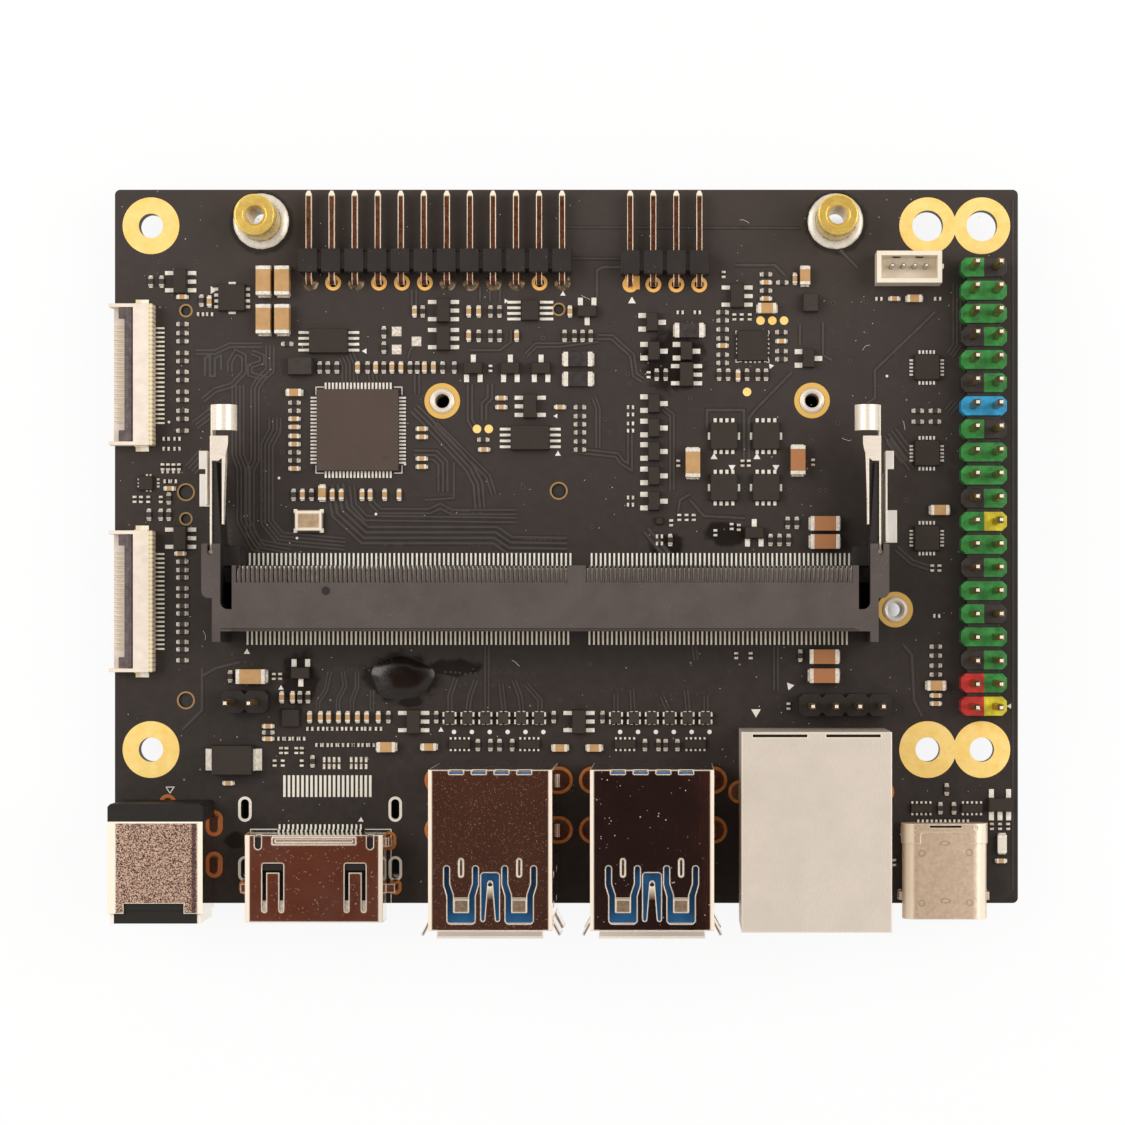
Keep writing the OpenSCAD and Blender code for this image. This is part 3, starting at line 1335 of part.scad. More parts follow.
// Two-ended parts: a body between two metal ends, lying along X unless turned
cap_1206 = [
    [12.6, 51.8, 90], [14.65, 51.8, 90], [12.6, 47.55, 90], [14.65, 47.55, 90], [60, 31.7, 90],
    [71.6, 32, 90], [11.2, 8.1, 0], [74.6, 25, 0], [74.6, 23, 0], [74.5, 10.3, 0], [74.5, 8.2, 0]
];
cap_0805 = [[26.1, 0.3], [68.2, 48.8], [72.4, 52.4, 90], [87.3 + slide_x, 26.5], [86.9 + slide_x, 7.1]];
cap_0603 = [
    [15.9, 39.5], [84.5 + slide_x, 49.9], [30.8, 0.3], [45.3, 0.2], [49.1, 0.2], [19, 28.4, 90]
];
cap_0402 = concat(
    [for (x = [17.6, 18.8, 19.7, 20.8, 21.8, 22.9, 23.9, 25.2]) [x, 3.6, 90]],
    [for (x = [16.8, 20.1, 21.1, 23.4, 24.3, 25.9, 27.5]) [x, 28.2, 90]],
    [for (x = [22.9, 24.9, 26.7, 27.7, 30.3, 31.3]) [x, 42.3, 90]],
    [for (y = [36.6, 35.7, 34.7, 33.8, 31.1]) [15.9, y]],
    [for (x = [29.2, 35.2, 36.3, 46.4]) [x, 48.5, 90]],
    [for (y = [35.5, 34.6, 32.2, 31.3]) [30, y]],
    [[3.5, 50.1], [2.1, 28.9], [3.3, 21.7], [13, 2.6], [13, 1.2], [8.6, -3.7], [38.8, 38.9], [38.8, 37.9]],
    [[45.3, 37.9], [36.9, 33.2], [68.1, 51.7], [68.1, 49.9], [63.3, 44.7], [69.8, 45.2], [6.5, 49.6, 90]],
    [[82.3 + slide_x, 49.9], [86.9 + slide_x, 6], [86.9 + slide_x, 5.1], [94.1 + slide_x, -12.3]],
    [[14.5, 5.8, 90], [15.7, 5.8, 90], [35.2, 45.8, 90], [40.5, 45.8, 90], [71.3, 52.1, 90], [65, 41.4, 90]]
);
res_1206 = [[47.3, 43.2], [47.3, 41], [59.6, 46.4]];
camera_rows = [0, 1, 1.9, 3.2, 4.1, 5.3, 6.2, 7.5, 8.4, 9.6, 10.5, 11.8];
res_0402 = concat(
    [for (s = camera_rows) [3.5, camera_y[0] + 5.7 - s]],
    [for (s = camera_rows) [3.5, camera_y[1] + 4.4 - s * 0.925]],
    [for (x = [0, 1.2]) [x, 51.8, 90]],
    [for (x = [18.7, 19.6, 20.6, 24, 25.8, 28.7, 29.5, 32.3, 33.6]) [x, 42.3, 90]],
    [for (y = [37.9, 36.9, 36, 35.1, 34.1, 33.2]) [47.5, y]],
    [for (y = [48.4, 47.5, 46.5, 45.5, 43.7, 42.8]) [63.3, y]],
    [for (x = [36.3, 37.6, 38.6, 45.8, 46.9, 47.8, 48.7]) [x, 45.8, 90]],
    [for (x = [36.2, 37.6, 38.6, 40, 54.7, 56.2, 57, 58.3]) [x, 0.5, 90]],
    [for (x = [30.1, 37.6, 38.6]) [x, 48.5, 90]],
    [for (x = [56, 57, 62.9, 63.9, 66, 67.2, 68.1]) [x, 41.5, 90]],
    [for (y = [11.4, 10.4, 9.3, 8.3]) [86.9 + slide_x, y]],
    [for (x = [84.9, 86.8], y = [37.5, 36.3]) [x + slide_x, y]],
    [for (x = [26.3, 31.6, 44.6, 50]) [x, 3.6, 90]],
    [for (x = [68.6, 69.6, 70.6]) [x, 23.2, 90]],
    [for (y = [38.4, 37.5, 32.9, 32]) [15.9, y]],
    [[15.1, 44.9], [13, 1.9], [36.8, 34.3], [68.1, 52.6], [68.1, 50.8], [69.9, 51.7], [69.8, 46.2]],
    [[69.8, 44.1], [69.8, 43.2], [5.6, 49.7, 90], [25.8, 46.2, 90], [25.8, 44.5, 90], [2, 27.8, 90]],
    [[-0.2, 26, 90], [1.1, 26, 90], [2, 26, 90], [15.8, 28.2, 90], [17.8, 28.2, 90], [8.8, 8.1, 90]],
    [[16.5, 5.8, 90], [17.4, 5.8, 90], [17.9, -1.3, 90], [70.5, 25.1, 90], [71.5, 25.1, 90]],
    [[71.9, 10.4, 90], [57.5, 23.2, 90], [88.1 + slide_x, -4.4, 90], [87.4 + slide_x, -6.5, 90]],
    [[88.9 + slide_x, -6.5, 90]]
);
lamp_at = [94.2 + slide_x, -10.4, 90];

// Length, width, height and end cap of each size of part
size_1206 = [3.2, 1.6, big_cap_h, 0.4];
size_0805 = [2, 1.1, 1.1, 0.35];
size_0603 = [1.6, 0.8, 0.8, 0.3];
size_0402 = [1, 0.5, 0.5, 0.22];
sense_size = [3.2, 1.6, 0.6, 0.5];
small_size = [1, 0.5, 0.35, 0.22];
lamp_size = [2, 1, 0.7, 0.4];

// Bodies of one size; cap_ends then closes them on both sides
module two_ended(places, size) {
    for (p = places) at(p) mid_block(0, 0, 0.03, size[0] - 2 * size[3], size[1], size[2] - 0.03);
}

module cap_ends(places, size) {
    cap = size[3];
    for (p = places, s = [-1, 1]) at(p) mid_block(s * (size[0] - cap) / 2, 0, 0, cap, size[1], size[2]);
}

module capacitors() {
    color([0.72, 0.5, 0.32]) {
        two_ended(cap_1206, size_1206);
        two_ended(cap_0805, size_0805);
        two_ended(cap_0603, size_0603);
        two_ended(cap_0402, size_0402);
    }
}

module resistors() {
    color([0.15, 0.13, 0.12]) {
        two_ended(res_1206, sense_size);
        two_ended(res_0402, small_size);
        two_ended([lamp_at], lamp_size);
    }
}

module part_ends() {
    color([0.88, 0.86, 0.83]) {
        cap_ends(cap_1206, size_1206);
        cap_ends(cap_0805, size_0805);
        cap_ends(cap_0603, size_0603);
        cap_ends(cap_0402, size_0402);
        cap_ends(res_1206, sense_size);
        cap_ends(res_0402, small_size);
        cap_ends([lamp_at], lamp_size);
    }
}

// Two moulded power coils, and the rows of line chokes behind the stacked sockets
choke_rows = [for (x = [33.1, 51.5], i = [0:5]) [x + 1.98 * i, 3.5]];
module coil_blocks() {
    color([0.22, 0.21, 0.21]) {
        at([16.6, 42.4]) mould(2.7, 2, 1.2);
        at([73, 49.4]) mould(1.7, 2, 1.2);
        for (p = choke_rows) at(p) mid_block(0, 0, 0.03, 1.15, 1.15, 0.7);
    }
}

// Crystal: a metal lid on a ceramic base
module crystal_can() {
    color([0.8, 0.74, 0.6]) at([17.5, 25.3]) {
        mid_block(0, 0, 0, 3.3, 2.6, 0.45);
        mid_block(0, 0, 0.45, 2.9, 2.2, 0.35);
    }
}

// Card sockets on the underside, open to the right, with the posts that their cards are screwed to
card_shank = 2.77;
card_slot_z = card_rise;
module card_body(i) {
    x = card_peg_x[i] - 1.8;
    y = card_mid_y[i] - card_l / 2;
    difference() {
        union() {
            block(x, y, -card_h, card_d, card_l, card_h - 0.15);
            for (s = [-1, 1])
                translate([card_peg_x[i], card_mid_y[i] + s * card_peg_gap / 2, -1])
                    cylinder(d = s > 0 ? 1.05 : 1.55, h = 1 + board_t - 0.3);
        }
        block(x + 1.6, y + 0.9, -card_slot_z - card_edge - 0.05, card_d, card_l - 1.8, card_edge + 0.1);
        block(x + card_d - 1.6, y + 0.9, -card_h - 1, 3, card_l - 1.8, card_h + 1 - card_slot_z - card_edge);
        block(x - 1, y + 1.5, -0.6, card_d + 2, card_l - 3, 0.6);
    }
}

module card_sockets() {
    color([0.13, 0.13, 0.13]) for (i = [0:2]) card_body(i);
}

module card_contacts() {
    color([0.86, 0.78, 0.58]) for (i = [0:2], k = [0:35]) if (k < 29 || k > 32) {
        x = card_peg_x[i] - 1.8;
        y = card_mid_y[i] + (k - 17.5) * contact_pitch;
        block(x - 0.9, y - 0.1, -0.15, 3, 0.2, 0.15);
        block(x + card_d - 2.6, y - 0.1, -0.15, 3.1, 0.2, 0.15);
    }
}

module card_standoffs() {
    color([0.82, 0.78, 0.7]) for (p = card_post_at) translate([p[0], p[1], 0]) rotate_extrude() polygon([
        [0.8, -card_rise],
        [2, -card_rise],
        [2, 0],
        [card_shank / 2, 0],
        [card_shank / 2, top + 0.12],
        [1.1, top + 0.25],
        [0.8, top + 0.1]
    ]);
}

circuit_board();
plated_pads();
module_standoffs();
socket_housing();
socket_upper_contacts();
socket_lower_contacts();
socket_latch_left();
socket_latch_right();
socket_anchors();
header_cells_green();
header_cells_black();
header_cells_blue();
header_cells_red();
header_cells_yellow();
long_header_pins();
side_header_body();
side_header_pins();
bus_header_body();
bus_header_pins();
debug_header_body();
debug_header_pins();
jumper_header_body();
jumper_header_pins();
fan_socket_body();
fan_socket_pins();
camera_socket_back();
camera_latch_back();
camera_contacts_back();
camera_socket_front();
camera_latch_front();
camera_contacts_front();
power_jack_body();
power_jack_shell();
power_jack_pin();
video_socket_shell();
video_socket_insert();
video_socket_contacts();
left_stack_shell();
left_stack_insert();
left_stack_contacts();
right_stack_shell();
right_stack_insert();
right_stack_contacts();
network_jack_shell();
network_jack_body();
network_jack_contacts();
oval_socket_shell();
oval_socket_tongue();
oval_socket_contacts();
hub_chip();
chip_bodies();
chip_leads();
capacitors();
resistors();
part_ends();
coil_blocks();
crystal_can();
card_sockets();
card_contacts();
card_standoffs();
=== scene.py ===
import bpy
import bmesh
import math
import random
from mathutils import Matrix, Vector


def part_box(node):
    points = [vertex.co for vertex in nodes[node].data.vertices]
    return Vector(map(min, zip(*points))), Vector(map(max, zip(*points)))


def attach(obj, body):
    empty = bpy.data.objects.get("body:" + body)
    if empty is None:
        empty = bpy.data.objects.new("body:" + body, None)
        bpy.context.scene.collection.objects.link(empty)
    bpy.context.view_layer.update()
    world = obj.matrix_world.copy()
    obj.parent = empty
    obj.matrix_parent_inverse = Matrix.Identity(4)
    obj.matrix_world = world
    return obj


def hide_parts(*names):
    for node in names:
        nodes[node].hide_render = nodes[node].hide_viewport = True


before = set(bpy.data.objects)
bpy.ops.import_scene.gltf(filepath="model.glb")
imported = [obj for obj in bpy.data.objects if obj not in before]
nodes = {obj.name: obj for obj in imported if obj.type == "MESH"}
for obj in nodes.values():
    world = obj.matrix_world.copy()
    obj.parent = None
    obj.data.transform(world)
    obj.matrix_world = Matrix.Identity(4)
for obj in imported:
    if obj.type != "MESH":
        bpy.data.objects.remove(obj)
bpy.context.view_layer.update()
dice = random.Random(11)

# Sizes and places in mm, as in the part's source; the board's edges in metres, for the materials
TOP = 1.6
PITCH = 2.54
SIDE_HEADER = 31.6
BUS_HEADER = 56.9
STANDOFFS = (12.2, 75.8)
STACKS = (38.5, 55.6)
CHOKES = [x0 + 1.98 * i for x0 in (33.1, 51.5) for i in range(6)]
FRONT, BACK = -0.017, 0.062

# The photograph looks straight down from about 335 mm, a little right of and below the middle
PIXELS = 9.03
ORIGIN = (151.07, 749.47)


def spot(u, v):
    """Place on the board's face, in mm, of a point in the 1125 x 1125 picture."""
    return ((u - ORIGIN[0]) / PIXELS, (ORIGIN[1] - v) / PIXELS)


def link(thing):
    bpy.context.scene.collection.objects.link(thing)


def put(name, bm, mat):
    """Makes an object in the scene from a finished mesh and its material."""
    mesh = bpy.data.meshes.new(name)
    bm.to_mesh(mesh)
    bm.free()
    mesh.materials.append(mat)
    thing = bpy.data.objects.new(name, mesh)
    link(thing)
    return thing


def camera():
    shot = bpy.data.cameras.new("overhead")
    shot.sensor_width = 36
    shot.lens = 96.8
    shot.clip_start = 0.01
    shot.clip_end = 10
    shot.shift_x = -0.0998
    shot.shift_y = 0.0555
    eye = bpy.data.objects.new("overhead", shot)
    eye.location = (0.058, 0.0138, 0.3366)
    link(eye)
    bpy.context.scene.camera = eye


def linear(rgb, k=1):
    """Linear values of a picture colour, made lighter or darker by k."""
    values = [v / 255 for v in rgb]
    return [min(1, k * (v / 12.92 if v <= 0.04045 else ((v + 0.055) / 1.055) ** 2.4)) for v in values]


# Materials. Every one has its own graph of noise for tone, roughness and relief.
class Graph:
    def __init__(self, name):
        self.mat = bpy.data.materials.new(name)
        self.mat.use_nodes = True
        self.tree = self.mat.node_tree
        self.bsdf = self.tree.nodes["Principled BSDF"]
        self.at = self.add("ShaderNodeTexCoord").outputs["Object"]

    def add(self, kind, **settings):
        node = self.tree.nodes.new(kind)
        for k, v in settings.items():
            setattr(node, k, v)
        return node

    def wire(self, a, b):
        self.tree.links.new(a, b)

    def feed(self, socket, v):
        """Sets or wires a socket; a tuple is a picture colour and a list a linear one."""
        if isinstance(v, tuple):
            v = linear(v)
        if isinstance(v, list):
            v = (*v, 1)
        if isinstance(v, (int, float, tuple)):
            socket.default_value = v
        elif v is not None:
            self.wire(v, socket)

    def stretch(self, sx, sy, sz):
        m = self.add("ShaderNodeMapping")
        m.inputs["Scale"].default_value = (sx, sy, sz)
        self.wire(self.at, m.inputs["Vector"])
        return m.outputs["Vector"]

    def noise(self, scale, detail=4, at=None, rough=0.6):
        n = self.add("ShaderNodeTexNoise")
        n.inputs["Scale"].default_value = scale
        n.inputs["Detail"].default_value = detail
        n.inputs["Roughness"].default_value = rough
        self.wire(at or self.at, n.inputs["Vector"])
        return n.outputs["Fac"]

    def cells(self, scale):
        n = self.add("ShaderNodeTexVoronoi", feature="F1")
        n.inputs["Scale"].default_value = scale
        self.wire(self.at, n.inputs["Vector"])
        return n.outputs["Distance"]

    def ramp(self, value, low, high, to_low=0.0, to_high=1.0):
        r = self.add("ShaderNodeMapRange")
        for name, v in (("From Min", low), ("From Max", high), ("To Min", to_low), ("To Max", to_high)):
            r.inputs[name].default_value = v
        self.wire(value, r.inputs["Value"])
        return r.outputs["Result"]

    def blend(self, factor, a, b):
        m = self.add("ShaderNodeMix", data_type="RGBA")
        self.feed(m.inputs[0], factor)
        self.feed(m.inputs[6], a)
        self.feed(m.inputs[7], b)
        return m.outputs[2]

    def sums(self, kind, a, b=None):
        m = self.add("ShaderNodeMath", operation=kind)
        self.feed(m.inputs[0], a)
        self.feed(m.inputs[1], b)
        return m.outputs[0]

    def both(self, a, b):
        return self.sums("MULTIPLY", a, b)

    def off(self, value, middle):
        return self.sums("ABSOLUTE", self.sums("SUBTRACT", value, middle))

    def split(self, what="at"):
        s = self.add("ShaderNodeSeparateXYZ")
        source = self.at if what == "at" else self.add("ShaderNodeNewGeometry").outputs["Normal"]
        self.wire(source, s.inputs[0])
        return s.outputs

    def up(self, low, high):
        """One on faces that look up."""
        return self.ramp(self.split("normal")[2], low, high)

    def band(self, value, low, high, soft=0.00008):
        """One where the value lies between low and high, in metres."""
        rise = self.ramp(value, low - soft, low + soft)
        return self.both(rise, self.ramp(value, high + soft, high - soft))

    def zone(self, x0, x1, y0, y1, soft=0.00008):
        """One over a box of the board's plan, given in mm."""
        x, y, z = self.split()
        across = self.band(x, x0 / 1000, x1 / 1000, soft)
        return self.both(across, self.band(y, y0 / 1000, y1 / 1000, soft))

    def island(self, x, y, a, b, ragged=0.25, soft=0.15):
        """One inside an oval of the plan, in mm; its edge wanders by a noise."""
        m = self.add("ShaderNodeMapping", vector_type="TEXTURE")
        m.inputs["Location"].default_value = (x / 1000, y / 1000, 0)
        m.inputs["Scale"].default_value = (a / 1000, b / 1000, 1)
        self.wire(self.at, m.inputs["Vector"])
        far = self.add("ShaderNodeVectorMath", operation="LENGTH")
        self.wire(m.outputs["Vector"], far.inputs[0])
        wander = self.ramp(self.noise(700, 3), 0.25, 0.75, -ragged, ragged)
        return self.ramp(self.sums("ADD", far.outputs["Value"], wander), 1 + soft, 1 - soft)

    def corner(self, radius):
        """The surface's direction, rounded off at the edges."""
        soft = self.add("ShaderNodeBevel", samples=6)
        soft.inputs["Radius"].default_value = radius
        return soft.outputs[0]

    def rim(self, radius):
        """One along the edges, where a rounded normal leaves the flat one."""
        turn = self.add("ShaderNodeVectorMath", operation="DOT_PRODUCT")
        self.wire(self.corner(radius), turn.inputs[0])
        self.wire(self.add("ShaderNodeNewGeometry").outputs["True Normal"], turn.inputs[1])
        return self.ramp(turn.outputs["Value"], 0.999, 0.985)

    def specks(self, scale, size, core, patch, *gate):
        """Small spots that come in patches."""
        return self.both(self.ramp(self.cells(scale), size, core), self.ramp(self.noise(patch, 3), *gate))

    def drift(self, scale, detail, a, b, low=0.3, high=0.7):
        """A tone that wanders between two colours."""
        return self.blend(self.ramp(self.noise(scale, detail), low, high), a, b)

    def any_of(self, *masks):
        out = masks[0]
        for m in masks[1:]:
            out = self.sums("MAXIMUM", out, m)
        return out

    def fixed(self, name, value):
        self.bsdf.inputs[name].default_value = value

    def colour(self, socket):
        self.wire(socket, self.bsdf.inputs["Base Color"])

    def metal(self, socket):
        self.wire(socket, self.bsdf.inputs["Metallic"])

    def rough(self, socket):
        self.wire(socket, self.bsdf.inputs["Roughness"])

    def gloss(self, scale, detail, smooth, dull, low=0.3, high=0.7):
        """Roughness that wanders between two values."""
        self.rough(self.ramp(self.noise(scale, detail), low, high, smooth, dull))

    def relief(self, height, strength, depth, edge=0.0):
        bump = self.add("ShaderNodeBump")
        bump.inputs["Strength"].default_value = strength
        bump.inputs["Distance"].default_value = depth
        self.wire(height, bump.inputs["Height"])
        if edge:
            self.wire(self.corner(edge), bump.inputs["Normal"])
        self.wire(bump.outputs[0], self.bsdf.inputs["Normal"])

    def surface(self, tone, gloss, grain, edge, spec=0.5, metal=0.0):
        """The last step of most materials: colour, wandering gloss and a fine grain."""
        self.colour(tone)
        self.fixed("Specular IOR Level", spec)
        self.fixed("Metallic", metal)
        self.gloss(*gloss)
        scale, detail, strength, depth = grain
        self.relief(self.noise(scale, detail), strength, depth, edge)
        return self.mat


def finish(name, rgb, rough=0.5, metal=0.0, vary=0.12, patch=700, wobble=0.08, grain=0.3, grit=9000,
           depth=0.00001, edge=0.00006, dust=0.0, spec=0.5, brushed=None, tint=None):
    """A moulded, plated or ground surface: its tone drifts, its gloss wanders and it has a fine grain."""
    g = Graph(name)
    g.fixed("Metallic", metal)
    g.fixed("Specular IOR Level", spec)
    at = g.stretch(*brushed) if brushed else g.at
    tone = g.drift(patch, 5, linear(tint or rgb, 1 - vary), linear(rgb, 1 + vary))
    if dust:
        tone = g.blend(g.both(g.specks(2600, 0.16, 0.09, 420, 0.5, 0.62), dust), tone, (205, 195, 182))
    g.colour(tone)
    g.gloss(patch * 1.7, 4, max(0.03, rough - wobble), min(1, rough + wobble), 0.25, 0.75)
    g.relief(g.noise(grit, 3, at), grain, depth, edge)
    return g.mat


# Rings of the three card standoffs, and pools of dried flux with their half sizes, in pixels
CARD_STANDS = [(442, 400), (814, 400), (896, 609)]
FLUX_DROP, FLUX_SPECKLE = (402, 678), (379, 675)
FLUX_POOLS = [(*FLUX_DROP, 38, 25), (455, 668, 25, 9), (410, 702, 14, 6), (300, 678, 18, 28),
              (674, 362, 32, 30), (668, 546, 16, 12), (726, 534, 22, 13), (236, 840, 11, 8)]


# The board's lacquer: warm black over a cloudy copper layer, paler towards the back edge as painted light
def lacquer():
    g = Graph("lacquer")
    x, y, z = g.split()
    # painted light: the lacquer grows paler towards the back edge
    tone = g.blend(g.ramp(y, FRONT, BACK), (42, 35, 31), (64, 55, 51))
    tone = g.blend(g.both(g.ramp(g.noise(38, 5), 0.35, 0.65), 0.35), tone, (44, 37, 33))
    tone = g.blend(g.both(g.ramp(g.noise(900, 6), 0.35, 0.7), 0.22), tone, (74, 65, 59))
    tone = g.blend(g.both(g.specks(520, 0.07, 0.035, 160, 0.55, 0.6), 0.5), tone, (190, 180, 165))
    side = g.ramp(g.sums("ABSOLUTE", g.split("normal")[2]), 0.5, 0.2)
    weave = g.ramp(g.noise(1, 3, g.stretch(300, 300, 9000)), 0.35, 0.65)
    tone = g.blend(side, tone, g.blend(weave, (42, 35, 28), (86, 74, 56)))
    pools = g.any_of(*[g.island(*spot(u, v), a / PIXELS, b / PIXELS) for u, v, a, b in FLUX_POOLS])
    # a dark ring round the foot of each standoff
    standoff_dark_rings = g.any_of(*[g.island(x0 + 0.05, 58.3, 3.5, 3.5, 0.06, 0.05) for x0 in STANDOFFS])
    tone = g.blend(g.any_of(g.both(pools, 0.8), g.both(standoff_dark_rings, 0.7)), tone, (20, 15, 13))
    g.colour(tone)
    g.fixed("Specular IOR Level", 0.25)
    g.rough(g.sums("SUBTRACT", g.ramp(g.noise(600, 4), 0.3, 0.7, 0.5, 0.62), g.both(pools, 0.25)))
    g.relief(g.noise(5200, 4), 0.2, 0.000012, 0.00008)
    return g.mat


# Copper runs under the lacquer, a little paler than the board round them, and paler towards the back edge as
# painted light
def covered_copper(name, front, rear):
    g = Graph(name)
    x, y, z = g.split()
    # painted light: paler towards the back edge, as on the lacquer
    tone = g.drift(1100, 4, g.blend(g.ramp(y, FRONT, BACK), front, rear), linear(rear, 0.7))
    return g.surface(tone, (700, 3, 0.35, 0.5), (6000, 3, 0.3, 0.00001), 0.00004, 0.4)


# Gold plate: pale on open pads, with other tones in the places that are named
def gold_plate():
    g = Graph("gold_plate")
    tone = g.drift(900, 5, (250, 206, 104), (255, 224, 140))
    stands = g.any_of(*[g.island(*spot(u, v), 4.5, 4.5, 0.02, 0.03) for u, v in CARD_STANDS])
    soldered = g.zone(15, 66.5, 50.4, 53)
    pegs = g.any_of(g.zone(2.6, 5.1, 4, 30), g.zone(2.95, 5.1, 47.4, 50), g.zone(43.8, 46.5, 27, 50.3))
    video = g.zone(8, 30, -16, -2.7)
    for place, rgb in ((stands, (226, 178, 84)), (soldered, (250, 190, 100)), (pegs, (158, 122, 70)),
                       (video, (235, 228, 215))):
        tone = g.blend(place, tone, rgb)
    return g.surface(tone, (1500, 3, 0.4, 0.55), (7000, 3, 0.25, 0.00001), 0.00006, 0.6)


# Square drawn pins with painted light. Upright ones have painted highlights on their tops. Lying ones mirror
# the dark room on their flat tops, darkened further by a painted dark reflection, and have painted highlights
# on their edges and far tips.
def drawn_pin(name, rgb, shade, first=None):
    """A row of lying pins starts at first, in mm; without it the pins stand upright."""
    g = Graph(name)
    lines = g.noise(1, 4, g.stretch(2600, 2600, 260) if first is None else g.stretch(2600, 160, 2600))
    streak = g.ramp(lines, 0.38, 0.62)
    if first is None:
        # up: painted highlight on the tops of upright pins
        up = g.up(0.6, 0.9)
        g.colour(g.blend(up, g.blend(g.both(streak, 0.5), rgb, shade), (255, 250, 235)))
        g.metal(g.ramp(up, 0, 1, 0.9, 0.35))
    else:
        x, y, z = g.split()
        off = g.sums("PINGPONG", g.sums("SUBTRACT", x, first / 1000), PITCH / 2000)
        # edge: painted highlight along the edges and far tips; between them a painted dark reflection
        edge = g.ramp(g.sums("ADD", off, g.ramp(streak, 0, 1, -0.00002, 0.00002)), 0.00023, 0.00028)
        edge = g.any_of(edge, g.ramp(y, 0.061, 0.0612))
        g.colour(g.blend(edge, g.drift(2600, 4, shade, linear(shade, 0.45), 0.35, 0.65), rgb))
        g.metal(g.ramp(edge, 0, 1, 0.7, 0.1))
    g.gloss(1500, 3, 0.22, 0.38)
    g.relief(lines, 0.25, 0.00001, 0.00012)
    return g.mat


# Rolled plate over a connector: near a mirror, dusty, with painted highlights on its edges
PLATE = (226, 212, 200)


def mirror_plate(name, rough, cell, bands, gate=(0.42, 0.6), size=0.2, fleck=(240, 225, 205)):
    """Bands are strips in x, in mm, of painted highlight where the bent corners catch the lamps."""
    g = Graph(name)
    tone = g.drift(150, 5, PLATE, linear(PLATE, 1.25), 0.35, 0.7)
    speck = g.specks(cell, size, size * 0.4, cell * 0.35, *gate)
    # pale: painted highlight on the edges and on the bands
    pale = g.rim(0.00021)
    x, y, z = g.split()
    up = g.up(0.5, 0.8)
    for x0, x1 in bands:
        pale = g.any_of(pale, g.both(up, g.band(x, x0 / 1000, x1 / 1000)))
    g.colour(g.blend(pale, g.blend(g.both(speck, 0.6), tone, fleck), (255, 240, 220)))
    g.metal(g.ramp(pale, 0, 1, 1, 0.3))
    haze = g.ramp(g.noise(230, 5), 0.3, 0.75, rough * 0.7, rough * 1.5)
    g.rough(g.any_of(haze, g.both(speck, 0.6), g.both(pale, 0.45)))
    g.relief(g.noise(1, 3, g.stretch(5200, 160, 5200)), 0.15, 0.00001, 0.00021)
    return g.mat


# The power jack's cover: a coarse sparkling roof, painted highlights on its bent sides and edges, and mirror
# walls
def jack_cover():
    g = Graph("jack_cover")
    up = g.up(0.5, 0.8)
    x, y, z = g.split()
    grains = g.noise(7200, 2, rough=0.5)
    roof = g.blend(g.ramp(grains, 0.4, 0.6), (64, 40, 36), (232, 196, 172))
    roof = g.blend(g.both(g.band(x, 0.0058, 0.0063, 0.0001), 0.8), roof, (70, 40, 46))
    # bent sides and edges: painted highlight
    bent = g.any_of(g.ramp(x, 0.00635, 0.0065), g.ramp(x, -0.0023, -0.0025), g.ramp(y, -0.0077, -0.0076))
    pale = g.any_of(g.both(up, bent), g.rim(0.00014))
    g.colour(g.blend(pale, g.blend(up, (236, 222, 204), roof), (255, 246, 228)))
    g.metal(g.any_of(g.both(g.ramp(pale, 0, 1, 0.7, 0.2), up), g.ramp(up, 0, 1, 1, 0)))
    g.rough(g.ramp(up, 0, 1, 0.04, 0.42))
    g.relief(g.both(grains, up), 0.35, 0.000025, 0.0001)
    return g.mat


# Satin plate: grain that runs one way, a soft bloom, painted highlights on its edges and bands, and painted
# shade in the rings of its dimples
def satin_plate(name, rgb, rough, grain, stretch, blotch, patch, edge, metal, streak=0.25, bands=(),
                dimples=()):
    g = Graph(name)
    tone = g.drift(patch, 6, linear(rgb, 1 - blotch), linear(rgb, 1 + blotch))
    lines = g.noise(1, 4, g.stretch(*stretch))
    tone = g.blend(g.both(g.ramp(lines, 0.4, 0.7), streak), tone, linear(rgb, 0.7))
    x, y, z = g.split()
    # pale: painted highlight on the edges and on the bands
    pale = g.rim(edge)
    up = g.up(0.15, 0.5)
    # the dark ring round each dimple's floor is painted shade on its sloping wall
    for dx, dy, a, b in dimples:
        floor = g.island(dx, dy, a * 0.7, b * 0.7, 0.02, 0.2)
        ring = g.both(g.island(dx, dy, a, b, 0.02, 0.12), g.sums("SUBTRACT", 1, floor))
        tone = g.blend(g.both(ring, 0.6), tone, linear(rgb, 0.3))
    for x0, x1 in bands:
        pale = g.any_of(pale, g.both(up, g.band(x, x0 / 1000, x1 / 1000, 0.00015)))
    g.colour(g.blend(pale, tone, (255, 240, 218)))
    g.metal(g.ramp(pale, 0, 1, metal, 0.3))
    g.rough(g.any_of(g.ramp(lines, 0.3, 0.7, rough - 0.06, rough + 0.08), g.both(pale, 0.45)))
    g.relief(lines, grain, 0.000012, edge)
    return g.mat


# Black resistor film, and the one white lamp by the right edge
def film():
    g = Graph("resistor_film")
    tone = g.drift(1400, 4, (42, 36, 34), (62, 53, 50))
    tone = g.blend(g.zone(93, 95.5, -12, -9), tone, (226, 222, 206))
    return g.surface(tone, (1800, 3, 0.32, 0.5), (7000, 3, 0.3, 0.00001), 0.00005)


